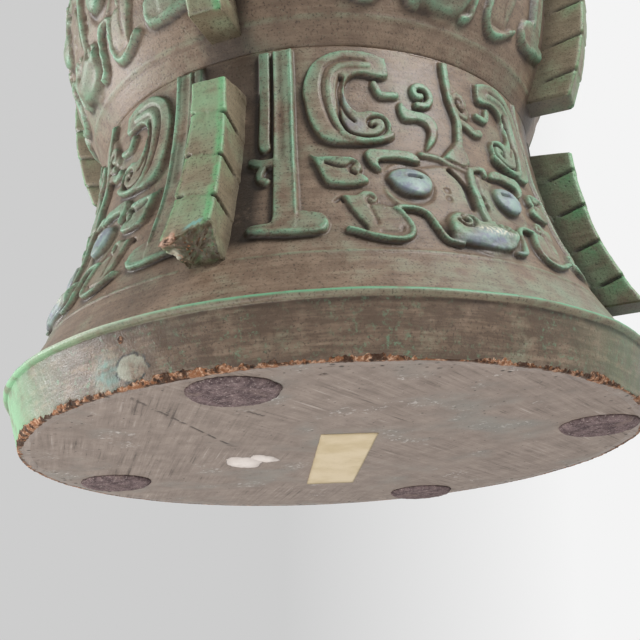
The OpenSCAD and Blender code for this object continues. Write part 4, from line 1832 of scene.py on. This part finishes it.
@dataclass
class Flange:
    """A notched flange that stands off the wall between two masks."""

    kind: str
    side: Side
    low: float
    top: float
    inner: Callable[[Array], Array]
    outer: Callable[[Array], Array]
    rise: float = 0.0
    flare: float = 0.0
    flare_start: float = 5.0
    proud: float = 0.0
    step: float = 0.24
    thick: float = 7.9
    hub: float = 0.55
    groove_start: float = 6.0
    groove_pitch: float = 10.2
    groove_w: float = 1.0
    groove_d: float = 0.9
    groove_reach: float = 9.0
    groove_run_out: float = 2.5
    groove_slope: float = 0.23
    groove_skew: float = 0.0
    last_groove: float = 1.5
    tooth: float = 0.22
    # shaded darkens a flange's sides as painted shade and greens them.
    shaded: float = 0.0
    corner: float = 0.75
    end_round: float = 0.35
    broken: bool = False
    across: int = 13
    end_lost: float = 4.7
    end_drop: float = 1.9
    end_waves: tuple[Wave, ...] = (
        (0.4, 3.2, Seed.END_WAVES), (0.3, 1.3, Seed.END_BREAKS), (0.12, 0.6, Seed.END_GRAIN),
    )

    def section(self) -> tuple[Array, Array]:
        """The flange's section, from its inner edge round the outer face and back.

        Returns:
            Share of the way out, and place across the thickness, for each point of the ring.
        """
        half = self.thick / 2
        side = np.linspace(0, 1, self.across, endpoint=False)
        face = np.linspace(half, -half, self.across)
        back = np.linspace(-half, half, 5)[1:-1]
        flank = np.full(self.across, half)
        share = np.concatenate([side, np.ones(self.across), side[::-1], np.zeros(len(back))])
        return share, np.concatenate([flank, face, -flank, back])

    def bottom(self, share: Array, place: Array) -> Array:
        """Height of the lower end.

        Args:
            share: Share of the way out.
            place: Place across the thickness.

        Returns:
            The height at each place.
        """
        low = np.full(np.broadcast(share, place).shape, self.low)
        if self.broken:
            lost = np.clip(place / self.thick + 0.5, 0, 1) ** 0.75
            low = low - self.end_drop + self.end_drop * share
            low = low + smooth(share, 0.15, 0.95) * lost * self.end_lost
            low = uneven(np.stack([share * 10, place], axis=-1), self.end_waves, low)
        return low

    def lowness(self, z: Array) -> Array:
        """How far down a height is, from 0 below the top to 1 at the lower end."""
        start = self.top - self.flare_start
        return np.clip((start - z) / (start - self.low), 0, 1)

    def grid(self) -> FlangeGrid:
        """Lays rings up the flange, closed at both ends.

        Returns:
            The grid, before the grooves are cut.
        """
        share, place = self.section()
        rises = np.linspace(0, 1, int((self.top - self.low) / self.step) + 2)[1:-1]
        ends = BROKEN_END if self.broken else PLAIN_END
        up = np.concatenate([np.zeros(len(ends)), rises, np.ones(len(ends))])[:, None]
        full = np.concatenate([ends, np.ones(len(rises)), ends[::-1]])[:, None]
        out = self.hub + (share[None, :] - self.hub) * full
        wide = place[None, :] * full
        low = self.bottom(out, wide)
        z = low + up * (self.top + self.rise * (1 - out) - low)
        flared = wide * (1 + self.flare * self.lowness(z) * smooth(out, 0.2, 1.0))
        wide = np.where(wide < 0, flared, wide)
        near, far = self.inner(z), self.outer(z) + self.proud
        r = near + out * (far - near)
        return FlangeGrid(out, wide, z, full, up, r, far - r, np.mean(far - near))

    def build(self) -> None:
        """Makes the flange."""
        g = self.grid()
        self.carve(g)
        made = self.colour(g)
        if self.broken:
            self.wear_broken_end(made, g)
        turn = math.radians(self.side.value)
        x = g.r * math.sin(turn) + g.wide * math.cos(turn)
        y = -g.r * math.cos(turn) + g.wide * math.sin(turn)
        tag = f"{self.kind}_flange_{self.side.tag}"
        piece = skin(tag + "_visual", np.stack([x, y, g.z + 0 * g.r], axis=-1), made, False)
        settle(piece, finishes().flange, "patinated_flange", tag)

    def carve(self, g: FlangeGrid) -> None:
        """Cuts the grooves, steps the teeth and rounds the corners.

        Args:
            g: The grid, changed in place.
        """
        half = self.thick / 2
        skew = self.groove_skew * smooth(-g.wide, -half, half)
        start = self.top - self.groove_start + skew
        g.teeth = (start - g.z - self.groove_slope * g.gap) / self.groove_pitch
        room = self.top - self.low - self.groove_start - self.last_groove
        nearest = np.clip(np.round(g.teeth), 0, math.floor(room / self.groove_pitch))
        away = np.abs(g.teeth - nearest) * self.groove_pitch
        run_out = smooth(g.gap, self.groove_reach - self.groove_run_out, self.groove_reach)
        g.groove = np.clip(1 - away / (self.groove_w / 2), 0, 1) * (1 - run_out)
        g.flank = smooth(np.abs(g.wide), half - 1.5, half - 0.1)
        depth = g.groove * g.flank * self.groove_d
        tooth = (g.teeth - np.floor(g.teeth)) ** 2 * self.tooth
        corner = np.clip(1 - g.gap / self.corner, 0, 1)
        corner = corner * smooth(np.abs(g.wide), half - self.corner, half)
        last = (g.up < AT_END) | (g.up > 1 - AT_END)
        end = smooth(g.full, 0.9, 1.0) * np.where(last, self.end_round, 0.0)
        spots = np.stack(np.broadcast_arrays(g.r, g.z, np.sign(g.wide) * 40.0), axis=-1)
        first = Seed.FLANGE_WAVES + int(self.side.value)
        rough = uneven(spots, ((0.13, 12.0, first), (0.05, 3.0, Seed.FLANGE_GRAIN)))
        pull = depth + 0.35 * corner * self.corner + end - tooth * g.flank - rough * 0.6
        g.wide = np.sign(g.wide) * np.maximum(np.abs(g.wide) - pull * g.flank, 0)
        press = 0.8 * depth + 0.3 * corner * self.corner + end - tooth - rough
        g.r = g.r - np.where(g.out > 0.97, press, 0.0)

    def colour(self, g: FlangeGrid) -> Masks:
        """Works out the flange's masks, with darkening in the grooves and at the root that is dirt
        and painted shade, and painted shade over shaded sides.

        Args:
            g: The carved grid.

        Returns:
            The masks.
        """
        half = self.thick / 2
        made = blank_masks(g.r.shape)
        front = smooth(g.out, 0.93, 0.99)
        left = half * (1 + self.flare * self.lowness(g.z)) + g.wide
        edges = smooth(g.wide, half - 2.2, half - 0.9) + 0.6 * smooth(left, 0.8, 0.3)
        past = g.teeth - np.floor(g.teeth)
        below = np.exp(-((past / 0.3) ** 2)) * smooth(g.gap, 9.0, 2.0)
        below = below * smooth(g.z, self.top - 4, self.top - 8)
        # Root, grooves and shaded sides are darkened: dirt and painted shade.
        root = smooth(g.gap, 0.45 * g.width, g.width * 0.8) * (1 - front)
        rub_and_glint = front * edges + (0.35 + 0.5 * self.shaded) * below
        darkening = g.groove * g.flank + 0.45 * root + 0.34 * self.shaded * (1 - front)
        made["raised"] = np.clip(front * 0.9 + 0.8 * below + 0.6 * self.shaded, 0, 1)
        made["edge"] = np.clip(rub_and_glint + 0.2 * self.shaded, 0, 1)
        made["hollow"] = np.clip(darkening, 0, 1)
        made["mint"] = front * smooth(g.z, self.top - 16, self.top - 4) * 0.45
        return made

    def wear_broken_end(self, made: Masks, g: FlangeGrid) -> None:
        """Marks the bare core, the blue-green line and the pale sliver at a broken lower end.

        Args:
            made: The flange's masks, changed in place.
            g: The carved grid.
        """
        half = self.thick / 2
        wide, out = g.wide, g.out
        spots = np.stack([out * 10, wide], axis=-1)
        lower = smooth(g.up, 0.06, 0.0) + 0 * out
        line = smooth(np.abs(g.up - 0.022), 0.02, 0.008) * smooth(out, 0.95, 1.0)
        made["teal"] = line * smooth(wide, -1.4, 0.2) * smooth(wide, 3.0, 2.2) * 0.8
        sliver = lower * smooth(wide, 0.0, -half) * smooth(np.abs(out - 0.6), 0.16, 0.08)
        made["cream"] = sliver * smooth(wide, -half * 0.8, -half * 1.0) * 0.8
        made["band"] = 0.9 * (g.up < AT_END) * smooth(g.full, 1.0, 0.9) + 0 * out
        face = made["band"] * smooth(out, 0.1, 0.4)
        darkening = 0.22 + 0.5 * smooth(ripple(spots, 2.0, Seed.END_DIRT), 0, 0.7)
        made["hollow"] = np.maximum(made["hollow"], made["band"] * darkening)
        green = smooth(ripple(spots, 1.6, Seed.END_GREEN), 0.1, 0.6)
        made["edge"] = np.maximum(made["edge"], face * green)
        core = lower * smooth(out, 0.75, 0.98) * smooth(wide, -half * 0.35, -half * 0.9)
        chips = 0.8 * face * smooth(ripple(spots, 1.0, Seed.END_CHIPS), 0.45, 0.7)
        made["chip"] = np.maximum(core, chips)
        tip = made["chip"] * smooth(wide, -half * 0.5, -half * 0.9)
        made["pale"] = np.clip(tip * smooth(ripple(spots, 0.8, Seed.END_PALE), -0.5, 0.3), 0, 1)


@dataclass
class BasePlate:
    """The ground disc that closes the foot, with its pits and scratches."""

    radius: float = 73.14
    thick: float = 5.0
    columns: int = 720
    inner_r: float = 30.0
    inner_rings: int = 16
    outer_rings: int = 100
    edge: float = 0.02
    rim: Point = (67, 73)
    pit_depth: float = 0.9
    scratch_depth: float = 0.12
    pits: tuple[Triple, ...] = (
        (21.0, -64.8, 0.8), (24.1, -69.0, 0.6), (-31.0, -61.5, 0.5), (8.5, -66.5, 0.45),
    )
    scratches: tuple[tuple[Point, Point, float], ...] = (
        ((-17.3, -70.7), (-18.1, -17.8), 0.28),
        ((-2.2, -48.8), (-0.4, -42.6), 0.3),
    )

    def build(self) -> None:
        """Makes the plate."""
        inner = np.linspace(0, self.inner_r, self.inner_rings)
        outer = np.linspace(self.inner_r, self.radius, self.outer_rings)[1:]
        outer[-2] = self.radius - self.edge
        back = (self.radius, self.radius * 0.6, 0.0)
        radius = np.concatenate([inner, outer, back])
        below = len(inner) + len(outer)
        height = np.concatenate([np.zeros(below), np.full(len(back), self.thick)])
        angle = columns_round(self.columns)
        points = around(radius[:, None], angle[None, :], height[:, None])
        under = (np.arange(len(radius)) < below)[:, None]
        pitted, scratched = self.pit_cover(points[..., :2]), self.scratch_cover(points[..., :2])
        deep = sum(self.pit_depth * k for k, _ in pitted)
        deep = sum((self.scratch_depth * k for k in scratched), deep)
        points[..., 2] += np.where(under, deep, 0)
        masks = {
            "hollow": np.maximum.reduce([k for _, k in pitted]) * under,
            "scratch": np.maximum.reduce(scratched) * under * 0.85,
            "rim": smooth(radius, *self.rim)[:, None] * under,
        }
        piece = skin("base_plate_visual", points, masks, False)
        settle(piece, finishes().base, "ground_base", "base_plate")

    def pit_cover(self, flat: Array) -> list[tuple[Array, Array]]:
        """How deep each pit is at each place, and how dark.

        Args:
            flat: Places across the plate.

        Returns:
            Depth and darkness of each pit, from 0 to 1.
        """
        out = []
        for x, y, size in self.pits:
            near = np.hypot(flat[..., 0] - x, flat[..., 1] - y)
            out.append((smooth(near, size, size * 0.3), smooth(near, size * 1.1, size * 0.5)))
        return out

    def scratch_cover(self, flat: Array) -> list[Array]:
        """How much of each scratch, broken along its length, lies on each place.

        Args:
            flat: Places across the plate.

        Returns:
            The cover of each scratch, from 0 to 1.
        """
        broken = ripple(flat, 5.0, Seed.SCRATCH) > -0.35
        places = flat.reshape(-1, 2)
        out = []
        for start, end, width in self.scratches:
            gap = distance_to_line(places, np.array([start, end])).reshape(broken.shape)
            out.append(smooth(gap, width * 1.6, width * 0.4) * broken)
        return out


@dataclass
class FeltPad:
    """A round felt pad under the base."""

    side: Side
    radius: float = 9.5
    thick: float = 1.2
    columns: int = 96
    face_rings: int = 24
    face_share: float = 0.86
    rim_shares: tuple[float, ...] = (0.9, 0.94, 0.97, 1.0, 0.985, 0.6, 0.0)
    rim_lifts: tuple[float, ...] = (0.08, 0.25, 0.5, 0.8, 1.0, 1.0, 1.0)

    def build(self) -> None:
        """Makes the pad where its node is."""
        tag = "felt_pad_" + self.side.tag
        low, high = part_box(tag)
        middle = (low + high) / 2 / MM
        face = np.linspace(0, self.face_share, self.face_rings)
        rows = np.concatenate([face, self.rim_shares])[:, None]
        lift = np.concatenate([np.zeros(self.face_rings), self.rim_lifts])[:, None]
        angle = columns_round(self.columns)
        rim = circle(angle) * self.radius
        edge = np.abs(ripple(rim, 5.0, Seed.PAD_EDGE + int(self.side.value)))
        fray = np.abs(ripple(rim, 1.3, Seed.PAD_FRAY))
        ragged = 1 - 0.026 * edge - 0.022 * fray
        radius = rows * self.radius * ragged[None, :]
        points = around(radius, angle[None, :], (lift - 1) * self.thick)
        matted = np.abs(ripple(points[..., :2], 2.6, Seed.PAD_MATTING)) * 0.12
        matted = matted + np.abs(ripple(points[..., :2], 0.9, Seed.PAD_NAP)) * 0.06
        points[..., 2] += np.where(lift < 0.7, matted, 0)
        points[..., 0] += middle.x
        points[..., 1] += middle.y
        piece = skin(tag + "_visual", points, {}, False)
        settle(piece, finishes().felt, "felt", tag)


@dataclass
class PaperLabel:
    """The blank paper label under the base, lying flat with worn corners."""

    width: float = 13.5
    length: float = 60.0
    thick: float = 0.2
    turn: float = 24.0
    centre: Point = (-1.6, 9.0)
    points: int = 160
    rings: int = 14

    def build(self) -> None:
        """Makes the label."""
        t = np.linspace(0, 1, self.points, endpoint=False)
        long = self.length / (2 * (self.length + self.width))
        stops = np.array((0, long, 0.5, 0.5 + long, 1.0))
        x = np.interp(t, stops, np.array((-1, -1, 1, 1, -1)) * self.width / 2)
        y = np.interp(t, stops, np.array((-1, 1, 1, -1, -1)) * self.length / 2)
        worn = 1 - 0.012 * np.abs(ripple(np.stack([x, y], axis=1), 7.0, Seed.LABEL_EDGE))
        back = (1.0, 0.5, 0.0)
        scale = np.concatenate([np.linspace(0, 1, self.rings), back])[:, None]
        lift = np.concatenate([np.zeros(self.rings), np.ones(len(back))])[:, None]
        px, py = scale * x * worn, scale * y * worn
        z = (lift - 1) * self.thick + 0 * px
        points = laid_out(px, py, z, self.centre, self.turn)
        edge = smooth(scale, 0.9, 1.0) + 0 * px
        piece = skin("paper_label_visual", points, {"edge": edge}, False)
        settle(piece, finishes().paper, "paper", "paper_label")


@dataclass
class FillerDab:
    """A dab of pale filler smeared on the base."""

    name: str
    centre: Point
    half: Point
    turn: float
    seed: int
    thick: float = 0.45
    sunk: float = 0.05
    columns: int = 72
    rings: int = 12

    def build(self) -> None:
        """Makes the dab."""
        unit = circle(columns_round(self.columns))
        ragged = 1 + 0.09 * ripple(unit, 1.3, self.seed) + 0.04 * ripple(unit, 0.4, self.seed + 1)
        face = np.linspace(0, 1, self.rings)
        back = (0.5, 0.0)
        rows = np.concatenate([face, back])[:, None]
        dome = np.concatenate([1 - face**2.6, np.zeros(len(back))])[:, None]
        under = np.concatenate([np.zeros(self.rings), np.full(len(back), self.sunk)])[:, None]
        px = rows * unit[:, 0] * self.half[0] * ragged
        py = rows * unit[:, 1] * self.half[1] * ragged
        lump = 1 + 0.35 * ripple(np.stack([px, py], axis=-1), 4.0, self.seed + 2)
        z = -self.thick * dome * np.clip(lump, 0.3, 1.5) + under
        points = laid_out(px, py, z, self.centre, self.turn)
        piece = skin(self.name, points, {"edge": 1 - dome + 0 * px}, False)
        settle(piece, finishes().filler, "ground_base")


@dataclass(frozen=True)
class Lamp:
    """A square lamp that faces the foot: its name, place, side and watts."""

    name: str
    spot: Triple
    size: float
    power: float
    target: Triple = (0, 0, 0.08)

    def hang(self) -> None:
        """Hangs the lamp out of the camera's sight."""
        data = bpy.data.lights.new(self.name, "AREA")
        data.size = self.size
        data.energy = self.power
        lamp = bpy.data.objects.new(self.name, data)
        lamp.location = self.spot
        lamp.visible_camera = False
        aim = Vector(self.target) - Vector(self.spot)
        lamp.rotation_euler = aim.to_track_quat("-Z", "Y").to_euler()
        bpy.context.scene.collection.objects.link(lamp)


@dataclass
class Stage:
    """Floor, backdrop, light and camera."""

    eye: Triple = (0.07629, -0.22540, -0.05083)
    forward: Triple = (-0.30626, 0.88649, 0.34690)
    right: Triple = (0.93763, 0.34387, -0.05099)
    lens: float = 53.94
    sensor: float = 36.0
    seen_from: float = 0.005
    seen_to: float = 50.0
    floor_size: float = 6.0
    floor_grey: float = 0.32
    floor_glow: float = 0.52
    air: tuple[float, ...] = (0.96, 0.97, 1.0, 1.0)
    air_strength: float = 0.34
    backdrop: tuple[tuple[float, str], ...] = ((0.45, "cdcdcd"), (0.85, "f4f4f4"))
    backdrop_slope: float = 1.4
    lamps: tuple[Lamp, ...] = (
        Lamp("key", (0.8, -0.3, 0.76), 0.34, 11.4),
        Lamp("fill", (-0.24, -0.44, -0.66), 0.6, 5.0),
        Lamp("side", (-1.9, -0.5, 0.36), 0.6, 35.0),
    )

    def build(self) -> None:
        """Makes everything that isn't part of the object."""
        self.floor()
        self.world()
        for lamp in self.lamps:
            lamp.hang()
        self.camera()
        bpy.context.scene.view_settings.view_transform = "Standard"

    def floor(self) -> None:
        """A pale floor that is seen only from above."""
        mesh = bpy.data.meshes.new("floor")
        s = self.floor_size / 2
        mesh.from_pydata([(-s, -s, 0), (s, -s, 0), (s, s, 0), (-s, s, 0)], [], [(0, 1, 2, 3)])
        floor = bpy.data.objects.new("floor", mesh)
        bpy.context.scene.collection.objects.link(floor)
        material = bpy.data.materials.new("floor")
        material.use_nodes = True
        material.node_tree.nodes.clear()
        g = Graph(material.node_tree)
        rays = g.add("LightPath").outputs
        seen = g.plus(rays["Is Camera Ray"], rays["Is Glossy Ray"], clamp=True)
        shown = g.times(seen, g.minus(1.0, g.add("NewGeometry").outputs["Backfacing"]))
        clear = g.add("BsdfTransparent").outputs[0]
        matt = g.add("BsdfDiffuse", {"Color": (*[self.floor_grey] * 3, 1.0)}).outputs[0]
        glow = {"Color": (*[self.floor_glow] * 3, 1.0), "Strength": 1.0}
        face = g.add("AddShader", {0: matt, 1: g.add("Emission", glow).outputs[0]}).outputs[0]
        both = g.add("MixShader", {0: shown, 1: clear, 2: face})
        g.add("OutputMaterial", {"Surface": both.outputs[0]})
        mesh.materials.append(material)
        floor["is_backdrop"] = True

    def world(self) -> None:
        """Even light from all round, with a pale backdrop behind it that is painted darker to the
        left as painted shade.
        """
        world = bpy.data.worlds.new("studio")
        bpy.context.scene.world = world
        world.use_nodes = True
        world.node_tree.nodes.clear()
        g = Graph(world.node_tree)
        ways = {0: g.add("TexCoord").outputs["Generated"], 1: self.right}
        across = g.add("VectorMath", ways, operation="DOT_PRODUCT").outputs["Value"]
        shade = g.add("ValToRGB", {0: g.plus(g.times(across, self.backdrop_slope), 0.5)})
        for element, (place, colour) in zip(shade.color_ramp.elements, self.backdrop):
            element.position = place
            element.color = srgb(colour)
        rays = g.add("LightPath").outputs
        bent = g.plus(rays["Is Glossy Ray"], rays["Is Transmission Ray"])
        seen = g.plus(rays["Is Camera Ray"], bent, clamp=True)
        light = g.add("Background", {"Color": self.air, "Strength": self.air_strength})
        back = g.add("Background", {"Color": shade.outputs[0], "Strength": 1.0})
        both = g.add("MixShader", {0: seen, 1: light.outputs[0], 2: back.outputs[0]})
        g.add("OutputWorld", {"Surface": both.outputs[0]})

    def camera(self) -> None:
        """The camera where the photographer's was, below the base."""
        data = bpy.data.cameras.new("camera")
        data.lens = self.lens
        data.sensor_width = self.sensor
        data.clip_start = self.seen_from
        data.clip_end = self.seen_to
        camera = bpy.data.objects.new("camera", data)
        back = -Vector(self.forward).normalized()
        right = Vector(self.right).normalized()
        up = back.cross(right)
        turned = Matrix((right, up, back)).transposed().to_4x4()
        camera.matrix_world = Matrix.Translation(Vector(self.eye)) @ turned
        bpy.context.scene.collection.objects.link(camera)
        bpy.context.scene.camera = camera


FLANGE_ROOT = 2.0
BELLY_FLANGE = 10.0
NECK_FLANGE = 9.0
FOOT_EDGE_R = 87.0
FOOT_EDGE_CENTRE = (155.6, 67.6)


def foot_flange_edge(z: Array) -> Array:
    """Outer radius of a foot flange at a height."""
    centre_r, centre_z = FOOT_EDGE_CENTRE
    return centre_r - np.sqrt(FOOT_EDGE_R**2 - (z - centre_z) ** 2)


def side_flanges(side: Side, foot: Foot, belly: Belly, neck: Neck) -> list[Flange]:
    """The three flanges up one side, of which the lowest at the front is broken.

    Args:
        side: The side.
        foot: The foot.
        belly: The belly.
        neck: The neck.

    Returns:
        The flanges, from the foot up.
    """
    # The lowest flanges except the front one get painted shade on their sides.
    lowest = Flange(
        "foot", side, low=25.4, top=67.6, rise=1.6, shaded=1.0,
        inner=lambda z: foot.radius(z) - FLANGE_ROOT, outer=foot_flange_edge,
        groove_start=4.9, groove_pitch=10.0, groove_slope=0.3, groove_reach=8.0,
    )
    if side is Side.FRONT:
        lowest = replace(
            lowest, shaded=0.0, flare=0.47, proud=0.4, broken=True, across=25,
            groove_start=9.0, groove_pitch=10.9, groove_skew=1.3,
        )
    middle = Flange(
        "belly", side, low=84.0, top=148.0, step=0.5,
        inner=lambda z: belly.radius(z) - FLANGE_ROOT,
        outer=lambda z: belly.radius(z, -BELLY_FLANGE),
    )
    highest = Flange(
        "neck", side, low=162.0, top=260.0, step=0.5,
        inner=lambda z: neck.radius(z) - FLANGE_ROOT,
        outer=lambda z: neck.radius(z, -NECK_FLANGE),
    )
    return [lowest, middle, highest]


def main() -> list[list[float]]:
    """Builds the vessel and the stage.

    Returns:
        The lowest and highest corner of the frame.
    """
    logging.basicConfig(level=logging.INFO, format="%(name)s %(message)s")
    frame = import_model()
    LOG.info("frame: %d nodes", len(frame["nodes"]))
    box = [list(c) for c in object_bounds()]
    Standing.base_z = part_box("base_plate")[0].z
    Stage().build()
    mask = Carving(whole_mask(), QUARTER, (20.0, 81.0), MASK_SCALE, fine=0.22)
    blade = Carving(blade_strokes(), BLADE_HALF + 1.0, (160.0, 282.0), BLADE_SCALE, fine=0.4)
    foot, belly, neck = Foot(), Belly(), Neck()
    foot.build(mask)
    belly.build(mask)
    neck.build(blade)
    BasePlate().build()
    for side in Side:
        for flange in side_flanges(side, foot, belly, neck):
            flange.build()
        FeltPad(side).build()
    PaperLabel().build()
    large = FillerDab("filler_dab_large", (-23.2, -2.9), (4.4, 7.2), 12.0, Seed.LARGE_DAB)
    small = FillerDab("filler_dab_small", (-16.8, -4.3), (3.0, 5.0), -8.0, Seed.SMALL_DAB)
    large.build()
    small.build()
    return box


if __name__ == "__main__":
    cad_box = main()
